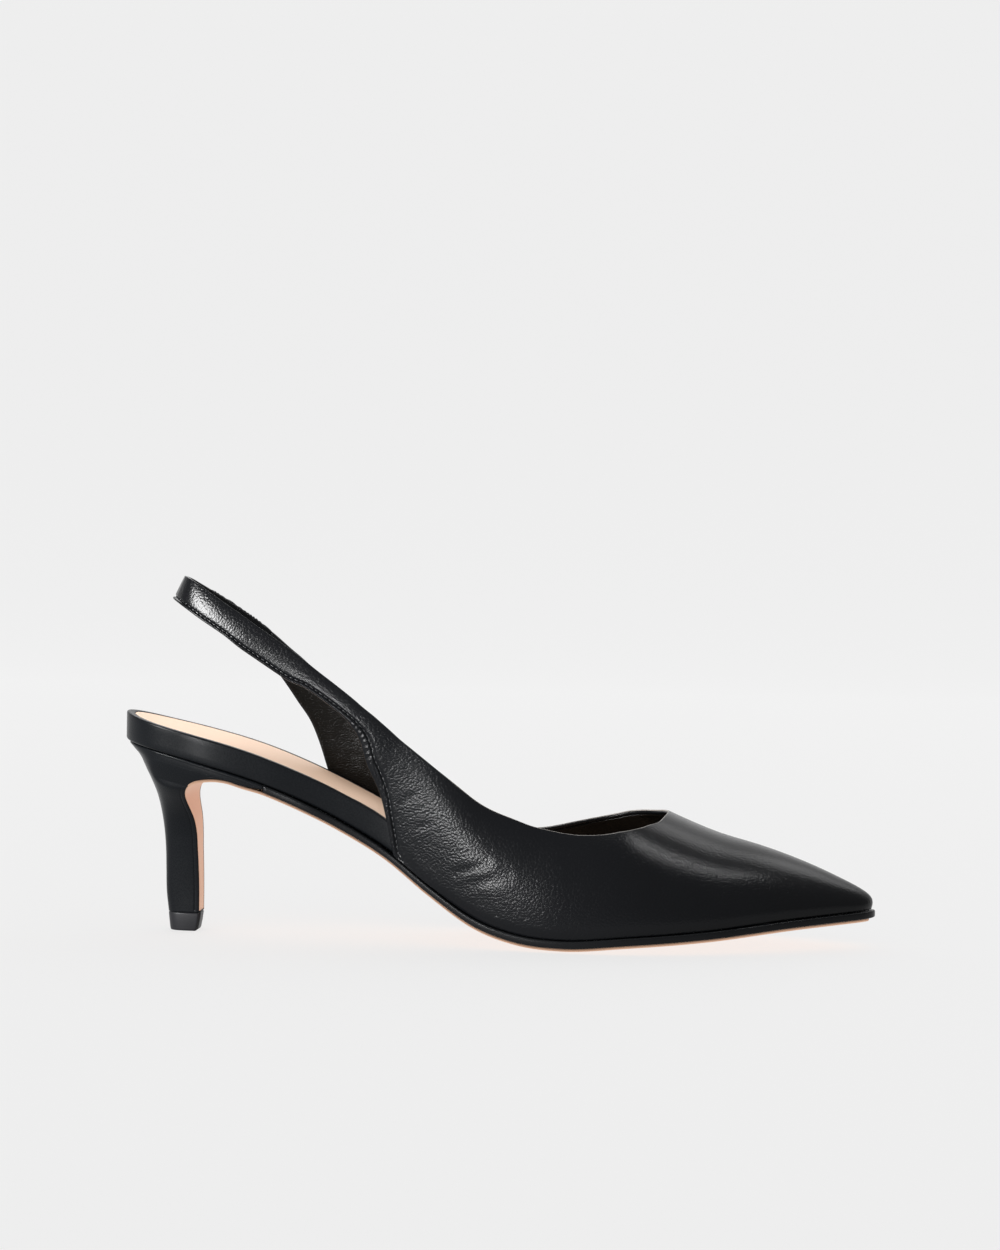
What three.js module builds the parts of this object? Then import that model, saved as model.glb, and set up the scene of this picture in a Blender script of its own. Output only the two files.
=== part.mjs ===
// A slingback pump for the right foot, empty and standing on its heel tip and tread.
// Millimetres. +X points to the toe, +Y to the inner side of the foot, +Z up.
// While it is worked out, x runs from the back of the seat and y from the middle line of the sole.
import * as THREE from "three";

// Driving dimensions
const shoeLength = 248;
const ballWidth = 76;
const seatWidth = 45;
const heelHeight = 63.4; // floor to the underside of the footbed at its back
const toeSpring = 8.2; // how far the sole rises from the tread to the toe
const instepHeight = 37.4; // feather line to the middle of the throat
const throatX = 180.3; // back of the seat to the middle of the throat
const outerQuarterX = 92.3; // back of the seat to the lower corner of the outer quarter
const innerQuarterX = 67; // the same on the inner side
const slingRise = 54; // the lie of the footbed to the upper edge of the strap at the back
const slingSpread = 1; // how wide the strap's loop stands
const slingBow = 0.5; // how far the strap bows out between its edges

// Walls, layers and clearances
const upperWall = 1.3;
const elasticWall = 2.3;
const clearance = 0.3;
const randThickness = 2.4;
const randStep = 0.5; // how far the rand stands out past the upper
const soleThickness = 0.9;
const soleInset = 0.8;
const soleCrown = 0.5; // how much fuller the sole's middle is than its edge
const flatCrown = 0.35; // the part of that crown that is worn down to a flat tread
const featherTuck = 0.7; // how far the upper draws in at the feather line
const featherRise = 4; // height over which the upper swells out again from that line
const tuckRun = 25;
const footbedThickness = 8.8;
const boardThickness = 2.3;
const footbedRounding = 2;
const toeRoom = 13; // how far the footbed stays behind the tip of the toe
const edgeRounding = 0.4; // of a layer's edge, top and bottom
const sockThickness = 0.9;
const sockMargin = 0.6; // rim of the footbed that shows round the sock
const sockSunk = 1;

// The heel
const breastX = 25.7; // back of the seat to the front face of the heel at its foot
const heelSeatLength = 49;
const heelFootDepth = 11;
const heelFootWidth = 10.6;
const tipHeight = 6;
const seatBackX = 1.2;
const flangeDepth = 1.2;
const seatInset = 1.3; // how far the heel's seat stays inside the outline
const breastLip = 0.7;

// How finely the pieces are cut
const upperStations = { [-1]: 32, [1]: 38 };
const upperAcross = 9;
const soleStations = 52;
const acrossSole = 6;
const heelAround = 12;

const treadStack = 2 * clearance + randThickness + soleThickness + flatCrown;

// Turns rows of numbers under named columns into objects.
function table(columns, rows) {
  return rows.map((row) => Object.fromEntries(columns.map((name, i) => [name, row[i]])));
}

// A smooth curve through one column of a table, at a place along its first column.
function follow(rows, at, key, value) {
  let i = 0;
  while (i < rows.length - 2 && value > rows[i + 1][at]) i += 1;
  const slope = (a, b) => (rows[b][key] - rows[a][key]) / (rows[b][at] - rows[a][at]);
  const tangent = (k) => {
    if (k === 0) return slope(0, 1);
    if (k === rows.length - 1) return slope(k - 1, k);
    const before = rows[k][at] - rows[k - 1][at];
    const after = rows[k + 1][at] - rows[k][at];
    return (slope(k - 1, k) * after + slope(k, k + 1) * before) / (before + after);
  };
  const span = rows[i + 1][at] - rows[i][at];
  const t = THREE.MathUtils.clamp((value - rows[i][at]) / span, 0, 1);
  const rise = rows[i + 1][key] - rows[i][key];
  const start = tangent(i) * span;
  const end = tangent(i + 1) * span;
  const bend = start + end - 2 * rise;
  return rows[i][key] + t * (start + t * (rise - start - bend + t * bend));
}

// The sole's rise from the tread. back: share of the heel's height, toe: share of the toe spring.
const soleLine = table(["x", "back", "toe"], [
  [0, 1, 0],
  [0.1, 0.903, 0],
  [0.2, 0.779, 0],
  [0.3, 0.596, 0],
  [0.36, 0.452, 0],
  [0.42, 0.262, 0],
  [0.48, 0.1, 0],
  [0.54, 0.02, 0],
  [0.595, 0, 0],
  [0.68, 0, 0.17],
  [0.79, 0, 0.43],
  [0.89, 0, 0.76],
  [1, 0, 1],
]);

// Height of the feather line, where the upper and the footbed meet what lies under them.
function featherZ(x) {
  const share = x / shoeLength;
  const back = follow(soleLine, "x", "back", share) * (heelHeight - treadStack);
  return treadStack + back + follow(soleLine, "x", "toe", share) * toeSpring;
}

// The sole's outline: half widths as shares of the ball's width, and of the seat's width behind.
const outline = table(["x", "outer", "inner", "seat"], [
  [0, 0, 0, 0],
  [0.01, 0, 0, 0.213],
  [0.04, 0, 0, 0.385],
  [0.1, 0, 0, 0.497],
  [0.2, 0.03, 0.015, 0.49],
  [0.3, 0.16, 0.13, 0.26],
  [0.37, 0.28, 0.22, 0.1],
  [0.44, 0.395, 0.3, 0],
  [0.52, 0.468, 0.372, 0],
  [0.6, 0.515, 0.444, 0],
  [0.665, 0.52, 0.48, 0],
  [0.73, 0.485, 0.479, 0],
  [0.79, 0.421, 0.437, 0],
  [0.85, 0.327, 0.364, 0],
  [0.91, 0.212, 0.262, 0],
  [0.96, 0.102, 0.166, 0],
  [0.988, 0.03, 0.104, 0],
  [1, -0.053, 0.053, 0],
]).map((row) => ({ ...row, turn: Math.acos(1 - 2 * row.x) }));

// Distance of the outline from the middle line; side is -1 on the outer side and 1 on the inner.
function outlineY(x, side) {
  const turn = Math.acos(1 - (2 * THREE.MathUtils.clamp(x, 0, shoeLength)) / shoeLength);
  const ball = follow(outline, "turn", side < 0 ? "outer" : "inner", turn) * ballWidth;
  return side * (ball + follow(outline, "turn", "seat", turn) * seatWidth);
}

// A point of the outline moved in by some distance, square to the edge.
function edgePoint(x, side, inset) {
  const step = 0.02;
  const a = Math.max(x - step, 0);
  const b = Math.min(x + step, shoeLength);
  const along = new THREE.Vector2(b - a, outlineY(b, side) - outlineY(a, side)).normalize();
  if (x <= 0) along.set(0, side);
  if (x >= shoeLength) along.set(0, -side);
  return new THREE.Vector2(x + side * along.y * inset, outlineY(x, side) - side * along.x * inset);
}

// Places along the shoe from one x to another, closer together at the seat's back and the toe.
function alongSole(from, to, count) {
  const turnOf = (x) => Math.acos(1 - (2 * x) / shoeLength);
  const places = [];
  for (let i = 0; i <= count; i += 1) {
    const turn = THREE.MathUtils.lerp(turnOf(from), turnOf(to), i / count);
    places.push((shoeLength * (1 - Math.cos(turn))) / 2);
  }
  return places;
}

// The layers under the upper are all cut at the same places, so that they stay apart evenly.
function layerPlaces(from, to) {
  const shared = alongSole(0, shoeLength, soleStations);
  return [from, ...shared.filter((x) => x > from + 0.5 && x < to - 0.5), to];
}

// One closed surface through rings of points, with a strip across the first and last ring.
function loft(rings) {
  const position = [];
  const index = [];
  const known = new Map();
  const number = (p) => {
    const key = [p.x, p.y, p.z].map((v) => Math.round(v * 500)).join();
    if (!known.has(key)) {
      known.set(key, position.length / 3);
      position.push(p.x, p.y, p.z);
    }
    return known.get(key);
  };
  const face = (a, b, c) => {
    if (a !== b && b !== c && c !== a) index.push(a, b, c);
  };
  const rows = rings.map((ring) => ring.map(number));
  const sides = rows[0].length;
  for (let i = 0; i + 1 < rows.length; i += 1) {
    const here = rows[i];
    const next = rows[i + 1];
    for (let j = 0; j < sides; j += 1) {
      const k = (j + 1) % sides;
      face(here[j], here[k], next[k]);
      face(here[j], next[k], next[j]);
    }
  }
  const cap = (ring, flip) => {
    for (let j = 0; j + 1 < sides - 1 - j; j += 1) {
      const quad = [ring[j], ring[j + 1], ring[sides - 2 - j], ring[sides - 1 - j]];
      if (flip) quad.reverse();
      face(quad[0], quad[2], quad[1]);
      face(quad[0], quad[3], quad[2]);
    }
  };
  cap(rows[0], false);
  cap(rows[rows.length - 1], true);
  const geometry = new THREE.BufferGeometry();
  geometry.setAttribute("position", new THREE.Float32BufferAttribute(position, 3));
  geometry.setIndex(index);
  if (signedVolume(position, index) < 0) geometry.setIndex(index.reverse());
  geometry.computeVertexNormals();
  return geometry;
}

function signedVolume(position, index) {
  const corner = (i) => new THREE.Vector3().fromArray(position, 3 * i);
  let sum = 0;
  for (let i = 0; i < index.length; i += 3) {
    sum += corner(index[i]).dot(corner(index[i + 1]).cross(corner(index[i + 2])));
  }
  return sum;
}

// The upper's cross-sections. crest: height of the arch over the feather line as a share of the
// instep, ridge: its place across as a share of the ball's width, full: how square its shoulders are.
const sections = table(["x", "crest", "ridge", "full"], [
  [0.27, 2.275, -0.013, 5],
  [0.37, 1.87, -0.013, 5],
  [0.42, 1.646, -0.007, 4.1],
  [0.485, 1.444, 0, 3],
  [0.545, 1.361, 0.007, 2.6],
  [0.605, 1.297, 0.018, 2.4],
  [0.665, 1.193, 0.026, 2.25],
  [0.727, 0.976, 0.03, 2.15],
  [0.786, 0.783, 0.037, 2.1],
  [0.847, 0.623, 0.042, 2.05],
  [0.907, 0.4465, 0.047, 2],
  [0.956, 0.283, 0.051, 2],
  [0.984, 0.1765, 0.053, 2],
  [0.9952, 0.115, 0.053, 2],
  [0.999, 0.067, 0.053, 2],
  [1, 0, 0.053, 2],
]).map((row) => ({ ...row, back: -Math.sqrt(1 - row.x) }));

function sectionAt(x) {
  const back = -Math.sqrt(Math.max(1 - x / shoeLength, 0));
  const value = (key) => follow(sections, "back", key, back);
  return { crest: value("crest") * instepHeight, ridge: value("ridge") * ballWidth, full: value("full") };
}

// How far the upper is drawn in at the feather line, from a quarter's lower corner on.
function tuckAt(x, cornerX) {
  return featherTuck * THREE.MathUtils.smoothstep(x, cornerX, cornerX + tuckRun);
}

// A point of the upper's outer face. turn: 0 at the feather line, a quarter turn on the ridge.
function upperPoint(x, turn, side) {
  const { crest, ridge, full } = sectionAt(x);
  const out = Math.max(Math.cos(turn), 0) ** (2 / full);
  const up = Math.max(Math.sin(turn), 0) ** (2 / full);
  const y = ridge + (outlineY(x, side) - ridge) * out;
  return new THREE.Vector3(x, y, featherZ(x) + crest * up);
}

// The turn at which a section reaches some height over its feather line.
function turnAtHeight(x, height) {
  const { crest, full } = sectionAt(x);
  const share = THREE.MathUtils.clamp(height / Math.max(crest, 0.01), 0, 1);
  return Math.asin(share ** (full / 2));
}

// The strap and the quarters' back edges, from the middle of the heel to each quarter's lower corner.
// edge: the lower or window edge, top: the upper edge. x as a share of the way to the corner, y of
// the ball's width, rise over the feather line as a share of the strap's rise, bow of the strap's bow.
const slingColumns = ["edgeX", "edgeY", "edgeRise", "topX", "topY", "topRise", "bow"];
const outerSling = table(slingColumns, [
  [0.159, 0, 0.917, 0.2, 0, 1.081, 0.4],
  [0.177, 0.051, 0.911, 0.212, 0.05, 1.083, 0.6],
  [0.211, 0.106, 0.894, 0.245, 0.097, 1.072, 0.8],
  [0.28, 0.153, 0.851, 0.323, 0.142, 1.026, 1],
  [0.365, 0.192, 0.803, 0.414, 0.181, 0.972, 1],
  [0.447, 0.223, 0.746, 0.495, 0.213, 0.926, 1],
  [0.596, 0.266, 0.68, 0.645, 0.262, 0.858, 1],
  [0.68, 0.287, 0.678, 0.724, 0.284, 0.819, 0.8],
  [0.805, 0.318, 0.633, 0.84, 0.313, 0.776, 0.6],
  [0.847, 0.326, 0.596, 0.883, 0.322, 0.757, 0.6],
  [0.875, 0.329, 0.54, 0.921, 0.329, 0.746, 0.8],
  [0.9, 0.332, 0.428, 0.97, 0.336, 0.73, 1],
  [0.945, 0.335, 0.315, 1.024, 0.345, 0.718, 0.9],
  [0.972, 0.338, 0.185, 1.073, 0.354, 0.722, 0.9],
  [1, 0.3405, 0, 1.121, 0.36, 0.7205, 0.9],
]);
const innerSling = table(slingColumns, [
  [0.219, 0, 0.917, 0.276, 0, 1.081, 0.4],
  [0.243, 0.051, 0.907, 0.293, 0.05, 1.074, 0.6],
  [0.291, 0.106, 0.883, 0.337, 0.097, 1.052, 0.8],
  [0.385, 0.152, 0.828, 0.442, 0.142, 1.003, 1],
  [0.503, 0.192, 0.77, 0.567, 0.181, 0.94, 1],
  [0.616, 0.225, 0.703, 0.679, 0.215, 0.877, 1],
  [0.694, 0.245, 0.64, 0.769, 0.237, 0.818, 1],
  [0.754, 0.259, 0.567, 0.836, 0.252, 0.779, 0.8],
  [0.806, 0.268, 0.496, 0.903, 0.264, 0.731, 0.6],
  [0.87, 0.276, 0.411, 0.97, 0.272, 0.689, 0.6],
  [0.915, 0.281, 0.305, 1.037, 0.277, 0.641, 0.5],
  [0.951, 0.285, 0.189, 1.097, 0.28, 0.605, 0.3],
  [0.979, 0.288, 0.09, 1.149, 0.281, 0.575, 0.1],
  [1, 0.2896, 0, 1.194, 0.2804, 0.554, 0],
]);

// The topline from each quarter to the throat. along: how far round the shoe, x: share of the way
// to the throat, turn: the section's turn there in degrees.
const outerTopline = table(["along", "x", "turn"], [
  [0, 0.574, 22.63],
  [0.083, 0.652, 33.5],
  [0.14, 0.71, 37.7],
  [0.2, 0.771, 39],
  [0.27, 0.832, 39.7],
  [0.344, 0.885, 42.2],
  [0.43, 0.924, 46.8],
  [0.52, 0.952, 52.6],
  [0.624, 0.972, 59.5],
  [0.734, 0.987, 66],
  [0.846, 0.996, 77],
  [1, 1, 90],
]);
const innerTopline = table(["along", "x", "turn"], [
  [0, 0.4437, 5],
  [0.08, 0.538, 7.5],
  [0.176, 0.666, 22.3],
  [0.2275, 0.727, 26.7],
  [0.283, 0.788, 33.6],
  [0.3435, 0.843, 40.5],
  [0.41, 0.893, 46.8],
  [0.485, 0.932, 54.3],
  [0.567, 0.958, 61],
  [0.66, 0.976, 67.5],
  [0.765, 0.99, 76],
  [0.87, 0.997, 83],
  [1, 1, 90],
]);

const quarters = {
  [-1]: { cornerX: outerQuarterX, sling: outerSling, topline: outerTopline },
  [1]: { cornerX: innerQuarterX, sling: innerSling, topline: innerTopline },
};

// Points across the strap or the back of a quarter, from its lower edge to its upper edge.
function slingLine(row, side) {
  const { cornerX, sling } = quarters[side];
  const value = (key) => follow(sling, "row", key, row);
  const end = (prefix) => {
    const x = value(prefix + "X") * cornerX;
    const y = side * value(prefix + "Y") * ballWidth * slingSpread;
    return new THREE.Vector3(x, y, featherZ(x) + value(prefix + "Rise") * slingRise);
  };
  const low = end("edge");
  const high = end("top");
  const line = [];
  for (let k = 0; k <= upperAcross; k += 1) {
    const t = k / upperAcross;
    const point = low.clone().lerp(high, t);
    point.y += side * value("bow") * slingBow * 4 * t * (1 - t);
    line.push(point);
  }
  return line;
}
for (const { sling } of Object.values(quarters)) sling.forEach((row, i) => (row.row = i));

// Points across the quarter or the vamp, from the feather line to the topline.
function lastedLine(along, side) {
  const { cornerX, topline } = quarters[side];
  const feather = shoeLength - (1 - along) ** 2 * (shoeLength - cornerX);
  const top = follow(topline, "along", "x", along) * throatX;
  const topTurn = THREE.MathUtils.degToRad(follow(topline, "along", "turn", along));
  const topHeight = upperPoint(top, topTurn, side).z - featherZ(top);
  const fan = THREE.MathUtils.smoothstep(along, 0.08, 0.36);
  const reach = (x) => Math.sqrt((shoeLength - x) / shoeLength);
  const line = [];
  for (let k = 0; k <= upperAcross; k += 1) {
    const t = k / upperAcross;
    const straightX = THREE.MathUtils.lerp(feather, top, t);
    const straightTurn = turnAtHeight(straightX, topHeight * t);
    const p = THREE.MathUtils.lerp(reach(feather), reach(top) * Math.cos(topTurn), t);
    const q = reach(top) * Math.sin(topTurn) * t;
    const fanX = shoeLength * (1 - p * p - q * q);
    const fanTurn = p === 0 && q === 0 ? Math.PI / 2 : Math.atan2(q, p);
    const x = THREE.MathUtils.lerp(straightX, fanX, fan);
    const point = upperPoint(x, THREE.MathUtils.lerp(straightTurn, fanTurn, fan), side);
    const height = Math.max(1 - (point.z - featherZ(x)) / featherRise, 0);
    const inward = edgePoint(x, side, tuckAt(x, cornerX) * height ** 2).sub(edgePoint(x, side, 0));
    line.push(point.add(new THREE.Vector3(inward.x, inward.y, 0)));
  }
  return line;
}

// All lines across one side, from the middle of the heel to the middle of the toe.
function sideLines(side) {
  const lines = [];
  const slingSteps = 2 * (quarters[side].sling.length - 1);
  for (let i = 0; i < slingSteps; i += 1) lines.push(slingLine(i / 2, side));
  const count = upperStations[side];
  for (let i = 0; i <= count; i += 1) lines.push(lastedLine(1 - (1 - i / count) ** 0.8, side));
  return lines;
}

// Gives a sheet of points its wall: each ring runs up the outer face and down the inner one.
// The first and the last line only show which way the sheet goes on past its ends.
function walled(lines, wall) {
  const at = (i, k) => lines[i][THREE.MathUtils.clamp(k, 0, lines[i].length - 1)];
  return lines.slice(1, -1).map((line, before) => {
    const i = before + 1;
    const inner = line.map((point, k) => {
      const along = at(i + 1, k).clone().sub(at(i - 1, k));
      const across = at(i, k + 1).clone().sub(at(i, k - 1));
      return point.clone().addScaledVector(across.cross(along).normalize(), wall);
    });
    return [...line, ...inner.reverse()];
  });
}

// The stretch of the inner strap that holds the elastic, in rows of its table.
const elasticFrom = 2.5;
const elasticTo = 5;
const elasticGathers = 9;
const gatherDepth = 0.35;

function upperGeometry() {
  const outer = sideLines(-1);
  const inner = sideLines(1);
  const back = inner.slice(1, 2 * elasticFrom + 2).reverse();
  const front = inner.slice(2 * elasticTo - 1, -1).reverse();
  return loft(walled([...back, ...outer, ...front], upperWall));
}

function elasticGeometry() {
  const [start, end] = [slingLine(elasticFrom, 1)[0], slingLine(elasticTo, 1)[0]];
  const gap = (1.5 * clearance * (elasticTo - elasticFrom)) / start.distanceTo(end);
  const steps = 4 * elasticGathers;
  const lines = [];
  for (let i = -1; i <= steps + 1; i += 1) {
    const t = i / steps;
    const line = slingLine(THREE.MathUtils.lerp(elasticFrom + gap, elasticTo - gap, t), 1);
    const gathers = elasticGathers * THREE.MathUtils.clamp(t, 0, 1);
    const gather = gatherDepth * (1 - Math.cos(2 * Math.PI * gathers));
    line.forEach((point, k) => {
      const atEdge = k === 0 || k === upperAcross;
      point.y += (atEdge ? 0.4 : 1) * gather;
    });
    lines.push(line.filter((_, k) => k % 3 === 0));
  }
  return loft(walled(lines.reverse(), elasticWall - 2 * gatherDepth));
}

// Cross-section of a layer from its outer to its inner edge, in steps of inset and height.
function layerRing(x, steps, bottom, across) {
  const ring = [];
  const side = (sign, list) => {
    for (const { inset, z } of list) {
      const edge = edgePoint(x, sign, inset);
      ring.push(new THREE.Vector3(edge.x, edge.y, z(edge.x, edge.y)));
    }
  };
  const span = (fromSign, z, inset) => {
    const a = edgePoint(x, fromSign, inset);
    const b = edgePoint(x, -fromSign, inset);
    for (let k = 1; k < across; k += 1) {
      const p = a.clone().lerp(b, k / across);
      ring.push(new THREE.Vector3(p.x, p.y, z(p.x, p.y)));
    }
  };
  const top = steps[steps.length - 1];
  side(-1, steps);
  span(-1, top.z, top.inset);
  side(1, [...steps].reverse());
  span(1, bottom, steps[0].inset);
  return ring;
}

// Starts a ring half way along its lower face, so that the strip across an end lies flat.
function turned(ring, by) {
  return [...ring.slice(-by), ...ring.slice(0, -by)];
}

const randTop = (x) => featherZ(x) - clearance;
const randBottom = (x) => randTop(x) - randThickness;
const soleTop = (x) => randBottom(x) - clearance;

// How far a layer's edge lies inside the outline: flush with the heel's seat at its front edge, and
// from the quarters' corners on by the layer's own inset.
function layerInset(x, atSeat, inFront) {
  return THREE.MathUtils.lerp(atSeat, inFront, THREE.MathUtils.smoothstep(x, heelSeatLength, innerQuarterX));
}

function randGeometry() {
  const rings = layerPlaces(heelSeatLength + clearance, shoeLength).map((x) => {
    const inset = layerInset(x, seatInset, -randStep);
    const steps = [
      { inset: inset + edgeRounding, z: randBottom },
      { inset, z: (px) => randBottom(px) + edgeRounding },
      { inset, z: (px) => randTop(px) - edgeRounding },
      { inset: inset + edgeRounding, z: randTop },
    ];
    return turned(layerRing(x, steps, randBottom, 2), 1);
  });
  return loft(rings);
}

// How thick the footbed is along the shoe: a deep wrapped band at the back, a thin board in front.
const footbedDepth = table(["x", "deep", "thin"], [
  [0, 1.07, 0],
  [0.04, 0.99, 0],
  [0.15, 0.98, 0],
  [0.3, 1.0, 0],
  [0.36, 1.05, 0],
  [0.42, 0.88, 0],
  [0.48, 0.58, 0.1],
  [0.55, 0.18, 0.6],
  [0.62, 0.03, 0.95],
  [0.7, 0, 1],
  [1, 0, 1],
]);

function footbedTop(x) {
  const share = x / shoeLength;
  const deep = follow(footbedDepth, "x", "deep", share) * footbedThickness;
  return featherZ(x) + deep + follow(footbedDepth, "x", "thin", share) * boardThickness;
}

// How far the footbed stays inside the outline, so that the upper's wall fits round it.
function footbedInset(x) {
  const inside = THREE.MathUtils.smoothstep(x, 0.2 * innerQuarterX, 0.9 * innerQuarterX);
  return (upperWall + 2 * clearance) * inside + tuckAt(x, innerQuarterX);
}

const footbedEndX = shoeLength - toeRoom;

function footbedGeometry() {
  const rings = layerPlaces(0, footbedEndX).map((x) => {
    const r = Math.min(footbedRounding, 0.45 * (footbedTop(x) - featherZ(x)));
    const inset = footbedInset(x);
    const steps = [
      { inset: inset + edgeRounding, z: featherZ },
      { inset, z: (px) => featherZ(px) + edgeRounding },
      { inset, z: (px) => footbedTop(px) - r },
      { inset: inset + 0.3 * r, z: (px) => footbedTop(px) - 0.3 * r },
      { inset: inset + r, z: footbedTop },
      { inset: inset + r + sockMargin, z: footbedTop },
      { inset: inset + r + sockMargin, z: (px) => footbedTop(px) - sockSunk },
    ];
    return turned(layerRing(x, steps, featherZ, 2), 1);
  });
  return loft(rings);
}

function sockGeometry() {
  const bottom = (x) => footbedTop(x) - sockSunk + clearance;
  const top = (x) => bottom(x) + sockThickness;
  const rings = layerPlaces(0, footbedEndX).map((x) => {
    const r = Math.min(footbedRounding, 0.45 * (footbedTop(x) - featherZ(x)));
    const inset = footbedInset(x) + r + sockMargin + clearance;
    const steps = [
      { inset, z: bottom },
      { inset, z: (px) => bottom(px) + sockThickness / 2 },
      { inset: inset + sockThickness / 2, z: top },
    ];
    return turned(layerRing(x, steps, bottom, 2), 1);
  });
  return loft(rings);
}

// The heel's rings from the seat down. front and back: places of the ring's two ends, x as a share
// of the seat's length and z of the heel's height, wide: share of the way from the foot's width to
// the seat's, sunk: how far the sole's tongue is let into the front.
const heelRings = table(["frontX", "frontZ", "backX", "backZ", "wide", "sunk"], [
  [0.86, 0.785, 0.06, 0.952, 0.985, 0],
  [0.735, 0.812, 0.088, 0.93, 0.975, 0],
  [0.655, 0.817, 0.108, 0.908, 0.96, 0],
  [0.586, 0.812, 0.124, 0.885, 0.93, 0],
  [0.522, 0.796, 0.145, 0.853, 0.87, 0.3],
  [0.475, 0.767, 0.172, 0.812, 0.77, 0.7],
  [0.455, 0.726, 0.2, 0.762, 0.62, 1],
  [0.46, 0.688, 0.22, 0.716, 0.48, 1],
  [0.475, 0.647, 0.235, 0.668, 0.35, 1],
  [0.493, 0.6, 0.248, 0.615, 0.23, 1],
  [0.508, 0.52, 0.265, 0.525, 0.105, 1],
  [0.513, 0.435, 0.275, 0.435, 0.055, 1],
  [0.52, 0.32, 0.28, 0.32, 0.02, 1],
  [0.524, 0.2, 0.285, 0.2, 0, 1],
]);

// The seat's own outline, from its back round to its straight front, each way as a share.
function seatShape(t) {
  const turn = (t * Math.PI) / 2;
  const x = heelSeatLength * (1 - Math.cos(turn));
  const width = (side) => outlineY(x, side) / outlineY(heelSeatLength, side);
  return { fore: 1 - Math.cos(turn), outer: width(-1), inner: width(1) };
}

// A ring of the heel: round the outer side, across the back and up the inner side to the front.
// In the front it has a lip on either side of the bed that the sole's tongue is let into.
function heelRing(front, back, widths, zAt, lip, bed) {
  const side = (sign) => {
    const points = [];
    for (let i = 0; i <= heelAround; i += 1) {
      const shape = seatShape(i / heelAround);
      const x = THREE.MathUtils.lerp(back.x, front.x, shape.fore);
      const y = sign * widths[sign] * (sign < 0 ? shape.outer : shape.inner);
      points.push(new THREE.Vector3(x, y, zAt(x, shape.fore)));
    }
    for (const step of [lip, bed]) {
      const y = sign * (widths[sign] - breastLip);
      points.push(new THREE.Vector3(front.x + step.x, y, zAt(front.x, 1) + step.z));
    }
    return points;
  };
  return [...side(-1).reverse(), ...side(1).slice(1)];
}

function heelWidths(wide) {
  const width = (side) => {
    const seat = Math.abs(outlineY(heelSeatLength, side)) - seatInset;
    return THREE.MathUtils.lerp(heelFootWidth / 2, seat, wide);
  };
  return { [-1]: width(-1), [1]: width(1) };
}

const heelFoot = { x: breastX, z: tipHeight + clearance };
const heelFootBack = { x: breastX - heelFootDepth, z: tipHeight + clearance };
const tongueDepth = clearance + soleThickness;
const tongueInset = breastLip + clearance;
const ledgeHeight = 0.4; // of the heel's foot, between the tongue's end and the tip

// The line down the front of the heel, from the seat's front edge to the ledge over the tip.
const heelFront = [
  ...heelRings.map((row) => ({ ...row, x: row.frontX * heelSeatLength, z: row.frontZ * heelHeight })),
  { x: heelFoot.x, z: heelFoot.z + ledgeHeight, backX: heelFootBack.x / heelSeatLength, wide: 0, sunk: 1 },
].map((here, i, path) => {
  const before = path[Math.max(i - 1, 0)];
  const after = path[Math.min(i + 1, path.length - 1)];
  const normal = new THREE.Vector2(before.z - after.z, after.x - before.x).normalize();
  return { ...here, normal, backZ: here.backZ ?? here.z / heelHeight };
});

function heelGeometry() {
  const bow = (share) => ({ x: share * clearance, z: 0 });
  const flat = { x: 0, z: 0 };
  const seatFront = { x: heelSeatLength - clearance };
  const seatBack = { x: seatBackX };
  const underSeat = (x) => featherZ(x) - clearance;
  const flange = (x, fore) => underSeat(x) - THREE.MathUtils.lerp(flangeDepth, randThickness, fore);
  const seatRing = heelRing(seatFront, seatBack, heelWidths(1), underSeat, bow(0.5), bow(1));
  const flangeRing = heelRing(seatFront, seatBack, heelWidths(1), flange, bow(0.5), bow(1));
  const rings = heelFront.map((row) => {
    const back = { x: row.backX * heelSeatLength, z: row.backZ * heelHeight };
    const level = (x, fore) => THREE.MathUtils.lerp(back.z, row.z, fore);
    const depth = -row.sunk * tongueDepth;
    const bed = { x: row.normal.x * depth, z: row.normal.y * depth };
    return heelRing(row, back, heelWidths(row.wide), level, flat, bed);
  });
  const ledge = heelRing(heelFoot, heelFootBack, heelWidths(0), () => heelFoot.z + ledgeHeight, flat, flat);
  const foot = heelRing(heelFoot, heelFootBack, heelWidths(0), () => heelFoot.z, bow(0.2), bow(0.4));
  return loft([seatRing, flangeRing, ...rings, ledge, foot]);
}

function heelTipGeometry() {
  const ring = (z, front, back, narrow) => {
    const widths = heelWidths(0);
    const shrunk = { [-1]: widths[-1] - narrow, [1]: widths[1] - narrow };
    const bow = (share) => ({ x: share * clearance, z: 0 });
    const ends = [{ x: heelFoot.x - front }, { x: heelFootBack.x + back }];
    return heelRing(...ends, shrunk, () => z, bow(0.2), bow(0.4));
  };
  return loft([
    ring(tipHeight, 0.1, 0.1, 0),
    ring(0.5 * tipHeight, 0.4, 0.35, 0.05),
    ring(0.4, 0.9, 0.7, 0.1),
    ring(0, 1.3, 1, 0.4),
  ]);
}

// The sole's section at a place along the tread or the shank.
function soleRing(x) {
  const inset = layerInset(x, seatInset + tongueInset, soleInset);
  const steps = [
    { inset: inset + edgeRounding, z: (px) => soleTop(px) - soleThickness },
    { inset, z: (px) => soleTop(px) - soleThickness + edgeRounding },
    { inset, z: soleTop },
  ];
  const middle = (edgePoint(x, 1, 0).y + edgePoint(x, -1, 0).y) / 2;
  const half = (edgePoint(x, 1, inset).y - edgePoint(x, -1, inset).y) / 2;
  const bottom = (px, py) => {
    const crown = soleCrown * Math.max(1 - ((py - middle) / Math.max(half, 0.1)) ** 2, 0);
    return Math.max(soleTop(px) - soleThickness - crown * tread(px), 0);
  };
  return turned(layerRing(x, steps, bottom, acrossSole), acrossSole / 2);
}

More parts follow.
